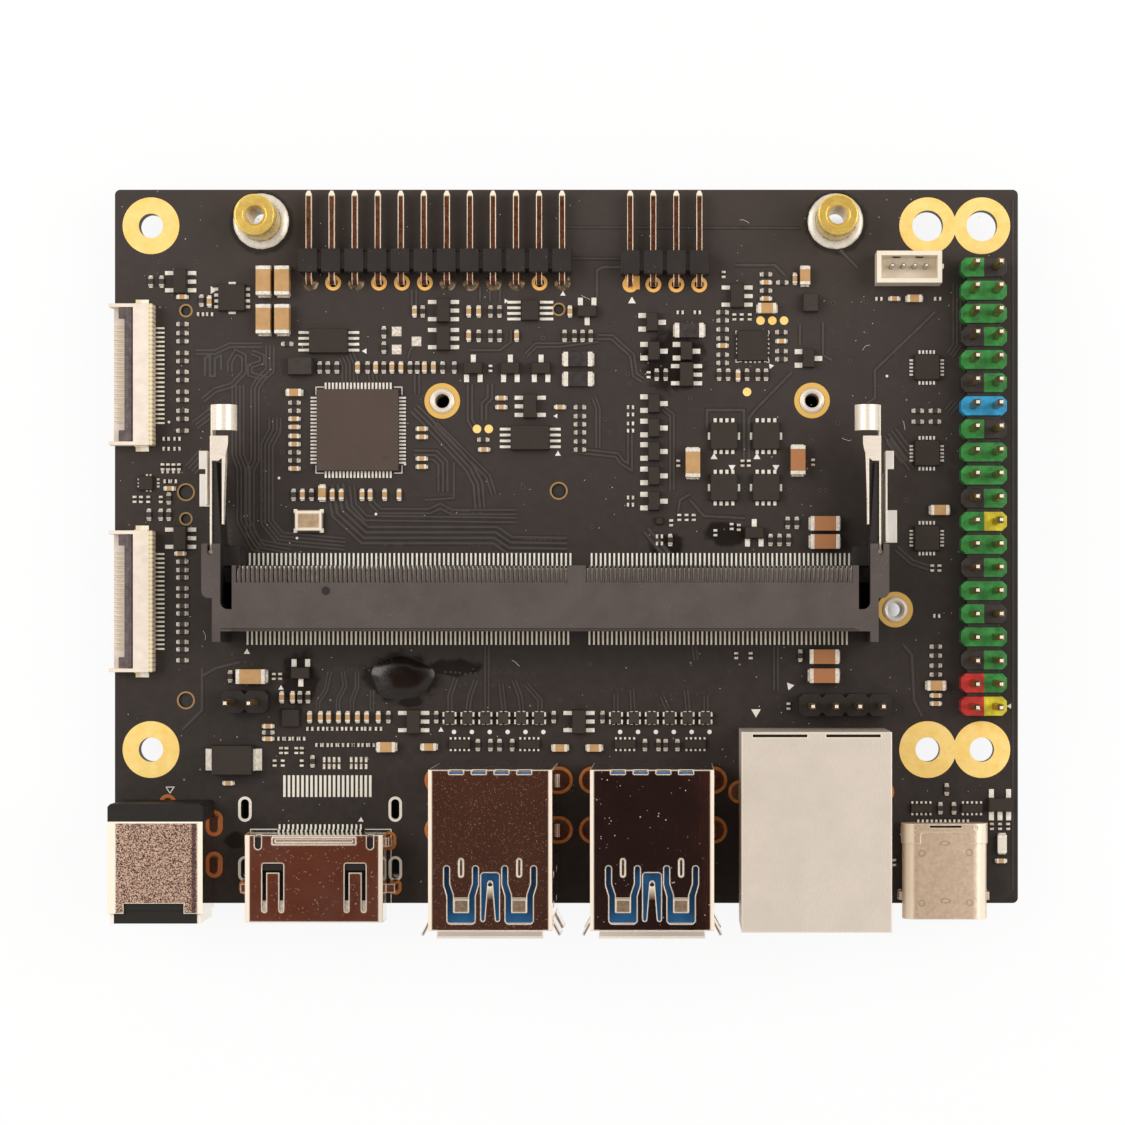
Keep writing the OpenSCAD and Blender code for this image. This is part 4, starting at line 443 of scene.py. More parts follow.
# Cream plastic of the camera sockets: the rear edge is yellower, with dots of painted shade in the notches at
# each contact
def cream_plastic():
    g = Graph("cream_plastic")
    x, y, z = g.split()
    tone = g.drift(900, 5, (230, 213, 197), (246, 231, 216))
    tone = g.blend(g.band(x, 0.00002, 0.0005), tone, (232, 216, 176))
    along = g.sums("PINGPONG", g.sums("SUBTRACT", y, 0.00015), 0.00025)
    # dots: painted shade in the notches between the teeth
    for row in (0.00017, 0.00045):
        dot = g.ramp(g.any_of(along, g.off(x, row)), 0.00009, 0.00005)
        tone = g.blend(g.both(dot, 0.75), tone, (142, 122, 92))
    return g.surface(tone, (1500, 4, 0.42, 0.58), (6000, 3, 0.35, 0.000015), 0.00008)


# Contacts of the camera sockets: plated cream-gold in the mouth, tinned at the tails, with painted shade at
# the roots of the tails
def camera_contact():
    g = Graph("camera_contact")
    x, y, z = g.split()
    tone = g.blend(g.ramp(x, -0.0012, -0.001), (238, 222, 186), (255, 248, 232))
    # painted shade at the roots of the tails, beside the housing
    tone = g.blend(g.both(g.band(x, 0.0005, 0.0008), 0.6), tone, (150, 118, 84))
    tone = g.blend(g.both(g.ramp(g.noise(2400, 4), 0.4, 0.7), 0.25), tone, (196, 170, 136))
    return g.surface(tone, (1800, 3, 0.32, 0.46), (6000, 3, 0.25, 0.00001), 0.00005)


# Black plastic of the module socket, with painted shade: the deck below the crest is darker, and so are a
# moulded line and a dimple
def socket_plastic():
    g = Graph("socket_plastic")
    x, y, z = g.split()
    tone = g.drift(260, 5, (78, 68, 65), (90, 80, 76))
    tone = g.blend(g.both(g.specks(2600, 0.16, 0.09, 420, 0.5, 0.62), 0.2), tone, (205, 195, 182))
    # painted shade on the low deck, the moulded line and the dimple
    deck = g.any_of(g.ramp(z, 0.0094, 0.0092), g.zone(8.94, 77.47, 13.33, 13.45, 0.00004))
    dimple = g.island(20.28, 17.49, 0.47, 0.47, 0.02, 0.1)
    tone = g.blend(g.both(g.any_of(deck, dimple), 0.9), tone, (34, 30, 28))
    return g.surface(tone, (440, 4, 0.52, 0.68, 0.25, 0.75), (6500, 3, 0.5, 0.00002), 0.00012, 0.3)


# Capacitor ceramic: golden tan, and a redder brown in the large ones right of the module socket
def ceramic():
    g = Graph("capacitor_body")
    tone = g.drift(900, 5, (184, 140, 88), (200, 158, 104))
    brown = g.any_of(g.zone(72, 78, 5, 27), g.zone(70.5, 72.6, 29, 35))
    tone = g.blend(g.both(brown, 0.85), tone, (170, 106, 60))
    return g.surface(tone, (1500, 4, 0.42, 0.58, 0.25, 0.75), (7000, 3, 0.35, 0.00001), 0.00005)


# Metal ends of the chip parts; the flat tops of the low resistors carry a painted dark reflection of the room
def metal_end():
    g = Graph("metal_end")
    x, y, z = g.split()
    tone = g.drift(3600, 5, (204, 188, 166), (247, 241, 230), 0.25, 0.6)
    # low: painted dark reflection on the flat tops of the low resistors
    low = g.both(g.ramp(z, 0.00205, 0.002), g.up(0.6, 0.9))
    tone = g.blend(g.both(low, 0.5), tone, (118, 102, 88))
    gloss = (4200, 4, 0.26, 0.46, 0.25, 0.75)
    return g.surface(tone, gloss, (6000, 3, 0.6, 0.00004), 0.0001, metal=0.15)


# The crystal: a tan lid with a cream rim, on a dark body with bright corners
def crystal_lid():
    g = Graph("crystal_lid")
    x, y, z = g.split()
    lid = g.zone(16.02, 19.0, 24.23, 26.44)
    field = g.zone(16.35, 18.7, 24.55, 26.1)
    out_x = g.ramp(g.off(x, 0.0175), 0.0012, 0.0013)
    out_y = g.ramp(g.off(y, 0.02533), 0.0008, 0.0009)
    body = g.blend(g.both(out_x, out_y), (66, 56, 48), (250, 244, 232))
    plate = g.drift(1600, 5, (176, 148, 116), (208, 182, 146))
    g.metal(g.both(field, 0.3))
    tone = g.blend(lid, body, g.blend(field, (250, 236, 214), plate))
    return g.surface(tone, (1800, 3, 0.3, 0.42), (5000, 4, 0.3, 0.000015), 0.00012)


# Rings of plated copper round the legs: orange, and browner beside the power jack
def warm_ring():
    g = Graph("warm_ring")
    tone = g.drift(1400, 5, (176, 100, 36), (224, 140, 62))
    tone = g.blend(g.zone(-5, 9, -15, -5), tone, (186, 102, 44))
    gloss = (2400, 4, 0.3, 0.5, 0.25, 0.75)
    return g.surface(tone, gloss, (6000, 3, 0.3, 0.00001), 0.00006, 0.6, 0.3)


# The middle spring of a stacked socket: a painted highlight at its bent head, fading to painted shade towards
# the mouth
def tongue_tip():
    g = Graph("tongue_tip")
    x, y, z = g.split()
    # fade: painted highlight at the head, painted shade towards the mouth
    fade = g.ramp(y, -0.0152, -0.0138)
    streak = g.ramp(g.noise(1, 4, g.stretch(5000, 700, 5000)), 0.35, 0.65)
    tone = g.blend(fade, (84, 54, 44), (255, 240, 214))
    g.colour(g.blend(g.both(streak, 0.3), tone, (120, 92, 74)))
    g.metal(g.ramp(fade, 0, 1, 0.6, 0.1))
    g.rough(g.ramp(streak, 0, 1, 0.28, 0.4))
    g.relief(g.noise(4000, 3), 0.3, 0.00001, 0.00008)
    return g.mat


# Dried flux: a dark glossy dome with a painted speckled highlight on its left half
def dried_flux():
    g = Graph("dried_flux")
    # grit: pale specks on the left half, a painted speckled highlight
    grit = g.both(g.ramp(g.cells(4200), 0.3, 0.12), g.island(*spot(*FLUX_SPECKLE), 1.3, 1.9, 0.3, 0.5))
    tone = g.blend(g.both(grit, 0.45), g.drift(600, 5, (16, 12, 10), (30, 23, 18)), (150, 120, 96))
    return g.surface(tone, (900, 3, 0.14, 0.24), (500, 4, 0.3, 0.00003), 0)


def cell_plastic(name, rgb, shade):
    return finish(name, rgb, 0.42, 0.0, 0.14, 1100, 0.08, 0.5, 3600, 0.00003, 0.00014, tint=shade)


camera()

# Finishes. Dimples in the oval socket's roof are given by middle and half sizes.
DIMPLES = [(85.1, -11.24, 0.38, 0.38), (90.31, -11.17, 0.38, 0.38), (85.1, -16.72, 0.38, 0.38),
           (90.37, -16.66, 0.38, 0.38), (87.63, -10.14, 0.58, 0.28), (87.7, -16.45, 0.58, 0.28)]
GOLD = gold_plate()
BRASS = finish("turned_brass", (255, 214, 110), 0.26, 0.6, 0.1, 800, 0.06, 0.4, 1, 0.00001, 0.00015,
               brushed=(900, 900, 9000))
SOLDER = finish("solder", (200, 176, 150), 0.2, 0.9, 0.12, 900, 0.08, 0.3, 3000, 0.00002, 0.0001)
DARK_SOLDER = finish("dark_solder", (112, 84, 68), 0.22, 0.8, 0.2, 1200, 0.08, 0.3, 3000, 0.00002, 0.0001)
TIN = finish("tinned_end", (247, 241, 231), 0.36, 0.05, 0.07, 3600, 0.1, 0.6, 6000, 0.00004, 0.0001,
             tint=(186, 166, 142))
STAND_SOLDER = finish("stand_solder", (235, 225, 210), 0.35, 0.3, 0.14, 1500, 0.1, 0.4, 4000, 0.00003,
                      0.0001)
LEAD = finish("chip_lead", (247, 242, 233), 0.36, 0.0, 0.06, 2200, 0.1, 0.35, 6000, 0.00003, 0.0001,
              tint=(228, 216, 198))
INK = finish("white_ink", (236, 231, 222), 0.7, 0.0, 0.1, 5200, 0.05, 0.4)
COPPER_RING = warm_ring()
BEAM = finish("contact_beam", (246, 234, 212), 0.36, 0.0, 0.1, 1800, 0.08, 0.2, 6000, edge=0.00004)
TAIL = finish("contact_tail", (246, 240, 226), 0.4, 0.0, 0.12, 1500, 0.08, 0.3, 6000, edge=0.00005)
BLACK = finish("black_plastic", (47, 41, 38), 0.55, 0.0, 0.12, 500, 0.1, 0.5, 6000, 0.00002, 0.00012,
               dust=0.2, spec=0.22)
# also worn by dark discs and plates that are painted shade for holes and windows
DEEP = finish("deep_black_plastic_and_hole_shade", (38, 34, 31), 0.55, 0.0, 0.15, 500, 0.1, 0.5, 5000, 0.00002, 0.00012,
              spec=0.22)
CHIP = finish("moulded_resin", (55, 47, 41), 0.65, 0.0, 0.06, 700, 0.06, 0.45, 8000, 0.000016, spec=0.25)
HUB = finish("hub_resin", (82, 68, 60), 0.65, 0.0, 0.05, 260, 0.05, 0.4, 9000, 0.000014, 0.0001, spec=0.25)
CREAM = cream_plastic()
FAN = finish("fan_plastic", (240, 228, 208), 0.42, 0.0, 0.05, 700, 0.08, 0.3, 6000, 0.000015, 0.0001)
FLIP = finish("latch_plastic", (98, 84, 84), 0.34, 0.0, 0.22, 1600, 0.08, 0.5, 5000, 0.00003, 0.0001,
              dust=0.4, brushed=(4000, 500, 4000), tint=(70, 56, 56))
COIL = finish("coil_block", (62, 55, 50), 0.5, 0.0, 0.12, 1500, 0.08, 0.6, 3500, 0.00003, 0.00008, spec=0.25)
STEEL = satin_plate("spring_steel", (250, 238, 222), 0.28, 0.05, (600, 2600, 600), 0.05, 160, 0.0001, 0.25,
                    0.05)
ANCHOR = satin_plate("anchor_steel", (250, 246, 240), 0.35, 0.2, (2600, 400, 400), 0.06, 300, 0.00016, 0.3)
NICKEL = satin_plate("satin_nickel", (226, 214, 200), 0.42, 0.2, (5600, 1300, 5600), 0.05, 300, 0.0002,
                     0.35, 0.34)
MOTTLED = satin_plate("mottled_nickel", (216, 191, 165), 0.36, 0.2, (2600, 1600, 2600), 0.16, 2400, 0.00012,
                      0.3, bands=((83.3, 84.2), (91.2, 92.2)), dimples=DIMPLES)
VIDEO = mirror_plate("video_plate", 0.1, 3600, ((11.25, 11.75), (25.75, 26.25)))
LEFT = mirror_plate("left_stack_plate", 0.07, 7000, ((31.9, 32.35), (44.65, 45.1)), (0.36, 0.66), 0.3,
                    (214, 170, 146))
RIGHT = mirror_plate("right_stack_plate", 0.05, 2400, ((49, 49.45), (61.75, 62.2)), (0.52, 0.66), 0.24)
CAMERA_CONTACT = camera_contact()
PIN_UP = drawn_pin("upright_pin", (190, 150, 92), (110, 84, 50))
PIN_SIDE = drawn_pin("side_pin", (255, 240, 212), (132, 78, 54), SIDE_HEADER - 5.5 * PITCH)
PIN_BUS = drawn_pin("bus_pin", (255, 240, 212), (132, 78, 54), BUS_HEADER - 1.5 * PITCH)
TIP = satin_plate("spring_tip", (138, 116, 94), 0.4, 0.3, (4000, 4000, 4000), 0.35, 2400, 0.00024, 0.4)
TONGUE = tongue_tip()
PIN_FAN = drawn_pin("fan_pin", (205, 200, 192), (150, 144, 136))
RUN = covered_copper("covered_copper", (58, 50, 45), (82, 73, 67))
GAP = covered_copper("bare_resin", (34, 29, 26), (51, 44, 41))
INSERT = finish("blue_insert", (22, 104, 160), 0.38, 0.0, 0.12, 700, 0.08, 0.3, 6000)
# darker than the other black plastic: painted shade for the pegs seen down their holes
CARD = finish("card_socket_plastic_and_shade", (38, 34, 31), 0.5, 0.0, 0.1, 400, 0.08, 0.5, 6000, 0.00002, 0.00012)

# What each of the CAD's nodes wears
WEAR = [
    (lacquer(), "circuit_board"), (GOLD, "plated_pads"), (BRASS, "module_standoffs"),
    (socket_plastic(), "socket_housing"),
    (BEAM, "socket_upper_contacts left_stack_contacts right_stack_contacts network_jack_contacts"),
    (TAIL, "socket_lower_contacts video_socket_contacts oval_socket_contacts card_contacts"),
    (STEEL, "socket_latch_left socket_latch_right"), (ANCHOR, "socket_anchors"),
    (cell_plastic("green_cell", (52, 148, 62), (40, 112, 48)), "header_cells_green"),
    (cell_plastic("black_cell", (54, 49, 44), (40, 36, 32)), "header_cells_black"),
    (cell_plastic("blue_cell", (40, 164, 214), (32, 136, 184)), "header_cells_blue"),
    (cell_plastic("red_cell", (208, 48, 38), (168, 34, 26)), "header_cells_red"),
    (cell_plastic("yellow_cell", (222, 210, 40), (186, 168, 30)), "header_cells_yellow"),
    (PIN_UP, "long_header_pins debug_header_pins jumper_header_pins power_jack_pin"),
    (BLACK, "side_header_body bus_header_body debug_header_body jumper_header_body"),
    (PIN_SIDE, "side_header_pins"), (PIN_BUS, "bus_header_pins"), (FAN, "fan_socket_body"),
    (PIN_FAN, "fan_socket_pins"), (CREAM, "camera_socket_back camera_socket_front"),
    (FLIP, "camera_latch_back camera_latch_front"),
    (CAMERA_CONTACT, "camera_contacts_back camera_contacts_front"),
    (DEEP, "power_jack_body video_socket_insert network_jack_body oval_socket_tongue"),
    (jack_cover(), "power_jack_shell"), (VIDEO, "video_socket_shell"), (LEFT, "left_stack_shell"),
    (INSERT, "left_stack_insert right_stack_insert"), (RIGHT, "right_stack_shell"),
    (NICKEL, "network_jack_shell card_standoffs"), (MOTTLED, "oval_socket_shell"), (HUB, "hub_chip"),
    (CHIP, "chip_bodies"), (LEAD, "chip_leads"), (ceramic(), "capacitors"), (film(), "resistors"),
    (metal_end(), "part_ends"), (COIL, "coil_blocks"), (crystal_lid(), "crystal_can"),
    (CARD, "card_sockets"),
]
for mat, names in WEAR:
    for name in names.split():
        materials = nodes[name].data.materials
        materials.clear()
        materials.append(mat)


# Pieces, drawn in millimetres and stored in metres
class Sketch:
    def __init__(self):
        self.bm = bmesh.new()

    def raised(self, faces, height, shrink=0.0, middle=(0, 0)):
        """Extrudes faces upwards; the top may be drawn in a little."""
        made = bmesh.ops.extrude_face_region(self.bm, geom=faces, use_keep_orig=True)["geom"]
        top = [v for v in made if isinstance(v, bmesh.types.BMVert)]
        bmesh.ops.translate(self.bm, vec=(0, 0, height), verts=top)
        if shrink:
            bmesh.ops.scale(self.bm, vec=(1 - shrink, 1 - shrink, 1), verts=top,
                            space=Matrix.Translation((-middle[0], -middle[1], 0)))

    def prism(self, outline, z0, z1):
        self.raised([self.bm.faces.new([self.bm.verts.new((x, y, z0)) for x, y in outline])], z1 - z0)

    def block(self, x, y, z, l, w, h, turn=0.0, shrink=0.0):
        place = Matrix.Translation((x, y, z)) @ Matrix.Rotation(math.radians(turn), 4, "Z")
        made = bmesh.ops.create_grid(self.bm, x_segments=1, y_segments=1, size=0.5,
                                     matrix=place @ Matrix.Diagonal((l, w, 1, 1)))
        self.raised(list(made["verts"][0].link_faces), h, shrink, (x, y))

    def lathe(self, x, y, profile, n=28, stretch=(0, 0)):
        """Turns (radius, height) pairs about an upright line, then pulls the halves apart by stretch."""
        t = math.pi / n
        points = [self.bm.verts.new((x + r * math.cos(t), y + r * math.sin(t), z)) for r, z in profile]
        line = [self.bm.edges.new(pair) for pair in zip(points, points[1:])]
        before = set(self.bm.verts) - set(points)
        bmesh.ops.spin(self.bm, geom=points + line, cent=(x, y, 0), axis=(0, 0, 1), angle=2 * math.pi,
                       steps=n, use_merge=True)
        made = [v for v in self.bm.verts if v not in before]
        for v in made:
            v.co.x += math.copysign(stretch[0], v.co.x - x)
            v.co.y += math.copysign(stretch[1], v.co.y - y)
        return made

    def stamp(self, pattern, places):
        """Copies another sketch to each place: x, y and size."""
        mesh = bpy.data.meshes.new("pattern")
        pattern.bm.to_mesh(mesh)
        pattern.bm.free()
        for x, y, size in places:
            copy = mesh.copy()
            copy.transform(Matrix.Translation((x, y, 0)) @ Matrix.Diagonal((size, size, 1, 1)))
            self.bm.from_mesh(copy)
            bpy.data.meshes.remove(copy)
        bpy.data.meshes.remove(mesh)

    def ribbon(self, path, width, z0, z1, shift=0.0):
        """A flat strip drawn out along a path with mitred bends, set off to one side by shift."""
        path = [Vector(p) for p in path]
        ways = [(b - a).normalized() for a, b in zip(path, path[1:])]
        rows = []
        for here, before, after in zip(path, ways[:1] + ways, ways + ways[-1:]):
            mid = (before + after).normalized()
            out = Vector((-mid.y, mid.x)) / max(0.4, mid.dot(before))
            rows.append([(*(here + out * (shift + side * width / 2)), z0) for side in (-1, 1)])
        a, b = [self.bm.verts.new(p) for p in rows[0]]
        edge = self.bm.edges.new((a, b))
        strip = []
        for row in rows[1:]:
            made = bmesh.ops.extrude_edge_only(self.bm, edges=[edge])["geom"]
            ends = [v for v in made if isinstance(v, bmesh.types.BMVert)]
            a, b = sorted(ends, key=lambda v: (v.co - a.co).length)
            a.co, b.co = row
            edge = next(e for e in made if isinstance(e, bmesh.types.BMEdge))
            strip.append(next(f for f in made if isinstance(f, bmesh.types.BMFace)))
        self.raised(strip, z1 - z0)

    def done(self, name, mat, slot="board_resin", body="board", smooth=False):
        bmesh.ops.remove_doubles(self.bm, verts=self.bm.verts, dist=0.00001)
        bmesh.ops.recalc_face_normals(self.bm, faces=self.bm.faces)
        bmesh.ops.scale(self.bm, vec=(0.001, 0.001, 0.001), verts=self.bm.verts)
        piece = put(name, self.bm, mat)
        if smooth:
            piece.data.shade_smooth()
        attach(piece, body)
        return piece


def steps(a, b, n):
    return [a + (b - a) * i / (n - 1) for i in range(n)]


# Copper runs: how many side by side, their spacing and width in mm, and the paths in pixels
RUNS = [
    (4, 0.42, 0.2, [
        [(238, 385), (238, 455), (243, 468), (243, 520), (256, 545), (290, 551)],
        [(275, 418), (275, 430), (267, 445), (267, 522), (280, 538), (345, 544)],
    ]),
    (3, 0.42, 0.2, [
        [(255, 408), (255, 460), (250, 470), (250, 532), (262, 549)],
        [(270, 345), (270, 370), (260, 380), (255, 388), (255, 408)],
    ]),
    (2, 0.42, 0.2, [
        [(262, 345), (230, 345), (215, 352), (196, 352)],
    ]),
    (2, 0.45, 0.2, [
        [(203, 400), (215, 390), (232, 385), (244, 372), (244, 356), (236, 352), (230, 362), (230, 372)],
    ]),
    (1, 0.4, 0.25, [
        [(205, 376), (205, 358), (210, 355), (210, 376), (215, 376), (215, 358), (221, 355), (221, 370)],
    ]),
    (2, 0.42, 0.2, [
        [(252, 352), (262, 356), (262, 362), (250, 366), (250, 374), (264, 378), (258, 386)],
    ]),
    (3, 0.45, 0.2, [
        [(195, 425), (212, 412), (226, 412)],
    ]),
    (4, 0.45, 0.18, [
        [(190, 470), (206, 452)],
    ]),
    (4, 0.6, 0.26, [
        [(335, 485), (340, 512), (365, 535), (495, 535), (510, 545), (567, 546)],
    ]),
    (2, 0.5, 0.2, [
        [(370, 490), (372, 503), (380, 511), (430, 511), (440, 506), (452, 512), (517, 512)],
        [(352, 486), (354, 505), (366, 518), (517, 520)],
    ]),
    (3, 0.5, 0.26, [
        [(414, 408), (428, 422), (470, 468), (478, 484), (480, 508)],
    ]),
    (2, 0.45, 0.2, [
        [(436, 424), (488, 476), (494, 495)],
    ]),
    (3, 0.5, 0.22, [
        [(414, 455), (435, 455), (443, 463), (443, 492)],
    ]),
    (1, 0.4, 0.22, [
        [(454, 462), (454, 498), (425, 500)],
    ]),
    (5, 0.42, 0.18, [
        [(346, 355), (350, 364), (350, 382)],
    ]),
    (3, 0.42, 0.18, [
        [(370, 365), (374, 382)],
    ]),
    (2, 0.5, 0.2, [
        [(417, 368), (417, 394)],
    ]),
    (1, 0.4, 0.2, [
        [(408, 358), (410, 350), (422, 338)],
    ]),
    (2, 0.5, 0.22, [
        [(414, 290), (414, 306)],
    ]),
    (1, 0.4, 0.22, [
        [(480, 287), (480, 302)], [(490, 287), (490, 302)], [(500, 287), (500, 302)],
    ]),
    (1, 0.4, 0.24, [
        [(470, 350), (500, 350), (511, 342), (511, 330)],
    ]),
    (2, 0.4, 0.2, [
        [(526, 355), (536, 345), (560, 345), (598, 340)],
    ]),
    (2, 0.5, 0.22, [
        [(470, 384), (470, 420), (476, 430)], [(490, 384), (490, 398), (484, 404), (484, 420)],
    ]),
    (1, 0.4, 0.26, [
        [(597, 297), (597, 270), (603, 267), (622, 267)],
    ]),
    (2, 0.45, 0.22, [
        [(598, 337), (612, 337), (632, 355), (635, 375), (643, 380)],
    ]),
    (1, 0.4, 0.26, [
        [(735, 265), (775, 265), (785, 275)], [(840, 250), (858, 268)],
        [(792, 372), (755, 410), (749, 418), (749, 465)],
        [(707, 428), (707, 410), (744, 410), (744, 460)],
    ]),
    (1, 0.4, 0.24, [
        [(935, 312), (875, 370), (875, 398), (867, 403)],
    ]),
    (2, 0.4, 0.2, [
        [(663, 408), (672, 415), (672, 490)],
    ]),
    (2, 0.45, 0.2, [
        [(630, 430), (630, 467), (622, 462), (617, 455), (572, 450)],
    ]),
    (2, 0.4, 0.2, [
        [(594, 398), (598, 408), (598, 448)],
    ]),
    (4, 0.5, 0.2, [
        [(890, 432), (915, 466)],
    ]),
    (2, 0.5, 0.2, [
        [(888, 440), (904, 462)],
    ]),
    (3, 0.4, 0.18, [
        [(957, 283), (957, 345), (950, 355)],
    ]),
    (3, 0.42, 0.18, [
        [(956, 402), (948, 412)],
    ]),
    (1, 0.4, 0.24, [
        [(823, 322), (823, 355), (832, 360)], [(800, 325), (800, 345)],
    ]),
    (2, 0.35, 0.16, [
        [(330, 671), (326, 690), (318, 702), (318, 712)],
        [(343, 671), (345, 686), (338, 700), (338, 712)],
        [(357, 671), (357, 688), (352, 700), (352, 712)], [(372, 690), (372, 712)],
    ]),
    (2, 0.4, 0.18, [
        [(456, 678), (450, 696), (450, 710)], [(476, 680), (470, 696), (468, 710)],
        [(487, 645), (487, 710)], [(501, 684), (504, 710)], [(514, 680), (520, 696), (522, 710)],
        [(526, 684), (540, 700), (540, 710)], [(616, 694), (616, 710)], [(632, 690), (633, 710)],
        [(662, 696), (668, 710)], [(686, 690), (688, 710)], [(706, 696), (706, 710)],
    ]),
    (1, 0.4, 0.24, [
        [(202, 668), (202, 710), (182, 730)], [(202, 676), (216, 668), (240, 662)],
    ]),
    (1, 0.4, 0.26, [
        [(903, 644), (912, 655), (914, 700), (922, 716)],
    ]),
    (2, 0.45, 0.2, [
        [(776, 645), (776, 690)],
    ]),
    (2, 0.4, 0.2, [
        [(694, 645), (696, 660)],
    ]),
    (2, 0.6, 0.28, [
        [(646, 530), (668, 556)],
    ]),
    (1, 0.4, 0.24, [
        [(690, 500), (704, 516), (745, 518)], [(678, 512), (680, 500), (690, 494)],
    ]),
    (2, 0.45, 0.2, [
        [(896, 548), (912, 562), (930, 568)],
    ]),
    (1, 0.4, 0.12, [
        [(1013, 200), (1013, 890)], [(560, 227), (800, 228)], [(560, 258), (640, 259)],
    ]),
]


def copper_runs():
    s, gaps = Sketch(), Sketch()
    height = TOP + 0.012
    for count, pitch, width, paths in RUNS:
        for path in paths:
            line = [spot(u, v) for u, v in path]
            gaps.ribbon(line, (count - 1) * pitch + width + 0.3, TOP - 0.01, height - 0.008)
            for i in range(count):
                s.ribbon(line, width, TOP - 0.01, height, (i - (count - 1) / 2) * pitch)
                height += 0.0002
    s.done("copper_runs", RUN)
    gaps.done("run_gaps", GAP)


# Vias in pixels: rows with both ends and a number, squares with the number on a side, and odd ones
VIA_ROWS = [
    ((329, 669), (373, 669), 10), ((446, 673), (540, 673), 20), ((452, 685), (536, 685), 13),
    ((600, 690), (640, 690), 8), ((650, 694), (710, 694), 10), ((408, 495), (452, 495), 11),
    ((446, 511), (480, 512), 7), ((418, 478), (434, 478), 5), ((525, 538), (560, 539), 8),
    ((560, 533), (568, 533), 3), ((230, 530), (232, 552), 5), ((262, 385), (268, 404), 6),
    ((240, 420), (241, 440), 5), ((262, 440), (263, 520), 9), ((384, 545), (402, 545), 5),
    ((452, 544), (500, 545), 12), ((280, 365), (284, 384), 5), ((204, 408), (228, 396), 7),
    ((812, 286), (834, 286), 4), ((800, 323), (810, 323), 3), ((640, 558), (700, 558), 12),
    ((895, 352), (897, 366), 3), ((896, 376), (904, 392), 4), ((778, 668), (779, 706), 5),
]
VIA_SQUARES = [(319, 312, 8), (225, 331, 6), (834, 347, 6), (591, 480, 5), (612, 325, 4), (196, 698, 4)]
VIA_SPOTS = [
    (833, 303), (832, 332), (848, 325), (866, 332), (864, 322), (850, 361), (628, 374), (629, 384),
    (605, 419), (610, 432), (592, 527), (610, 487), (838, 423), (811, 441), (846, 436), (690, 398),
    (880, 388), (745, 489), (790, 490), (820, 490), (826, 490), (523, 487), (543, 338), (278, 431),
    (282, 452), (560, 700), (590, 664), (730, 672), (838, 655), (906, 500), (250, 300), (222, 286),
    (160, 262), (197, 262), (872, 292), (866, 302),
]


def vias():
    places = []
    for a, b, n in VIA_ROWS:
        for u, v in zip(steps(a[0], b[0], n), steps(a[1], b[1], n)):
            places.append((*spot(u + dice.uniform(-1, 1), v + dice.uniform(-1.2, 1.2)), 0.15))
    for u, v, n in VIA_SQUARES:
        x, y = spot(u, v)
        for i in range(n):
            for j in range(n):
                places.append((x + (i - (n - 1) / 2) * 0.3, y + (j - (n - 1) / 2) * 0.3, 0.1))
    places += [(*spot(u, v), 0.24) for u, v in VIA_SPOTS]
    ring, hole, rings, hole_shades = [Sketch() for _ in range(4)]
    ring.lathe(0, 0, [(1, TOP - 0.01), (1, TOP + 0.02), (0.52, TOP + 0.022), (0.5, TOP + 0.004)], 14)
    # dark discs in the vias: painted shade for their holes
    hole.lathe(0, 0, [(0.5, TOP + 0.006), (0, TOP + 0.006)], 12)
    rings.stamp(ring, places)
    hole_shades.stamp(hole, places)
    rings.done("via_rings", RUN)
    hole_shades.done("via_hole_shades", DEEP)


# White ink in pixels: triangles with size and turn, chips with bracketed corners, dots and an arrow head
INK_TRIANGLES = [
    (247, 652, 0.4, 0), (790, 686, 0.5, 40), (756, 712, 0.62, 180), (1011, 706, 0.5, 90), (632, 301, 0.5, 0),
    (563, 294, 0.35, 0), (213, 290, 0.5, 270), (714, 457, 0.45, 0), (757, 457, 0.45, 0),
    (732, 467, 0.45, 180), (776, 467, 0.45, 180), (281, 688, 0.35, 0), (558, 454, 0.38, 0),
    (771, 366, 0.35, 40), (441, 730, 0.35, 0), (568, 730, 0.35, 0), (365, 351, 0.35, 90),
    (361, 820, 0.35, 0), (506, 301, 0.3, 270), (556, 416, 0.3, 90),
]
INK_CORNERS = [(316, 387, 402, 473, 8), (736, 331, 769, 362, 3)]
INK_DOTS = [(279, 478), (376, 514), (297, 538), (405, 464), (169, 422), (887, 376)]
INK_ARROW = (170, 790)


def ink():
    s = Sketch()
    z0, z1 = TOP, TOP + 0.02

    def line(points, width=0.1):
        s.ribbon([spot(u, v) for u, v in points], width, z0, z1)

    def dot(x, y, radius, n):
        s.lathe(x, y, [(radius, z0), (radius, z1), (0, z1)], n)

    for u, v, size, turn in INK_TRIANGLES:
        x, y = spot(u, v)
        angles = [math.radians(k + turn) for k in (90, 210, 330)]
        s.prism([(x + size * math.cos(a), y + size * math.sin(a)) for a in angles], z0, z1)
    for u0, v0, u1, v1, k in INK_CORNERS:
        for u, v, a, b in ((u0, v0, 1, 1), (u1, v0, -1, 1), (u0, v1, 1, -1), (u1, v1, -1, -1)):
            line([(u + a * k, v), (u, v), (u, v + b * k)])
    for x in CHOKES:
        dot(x + 0.45, 1.95, 0.25, 16)
    s.ribbon([(14, -8.84), (11.03, -8.84), (11.03, -9.3)], 0.13, z0, z1)
    s.ribbon([(23.7, -8.84), (26.58, -8.84), (26.58, -17)], 0.11, z0, z1)
    u, v = INK_ARROW
    line([(u - 4, v - 3), (u + 4, v - 3), (u, v + 3), (u - 4, v - 3)], 0.09)
    for u, v in INK_DOTS:
        dot(*spot(u, v), 0.15, 12)
    s.done("white_ink", INK)


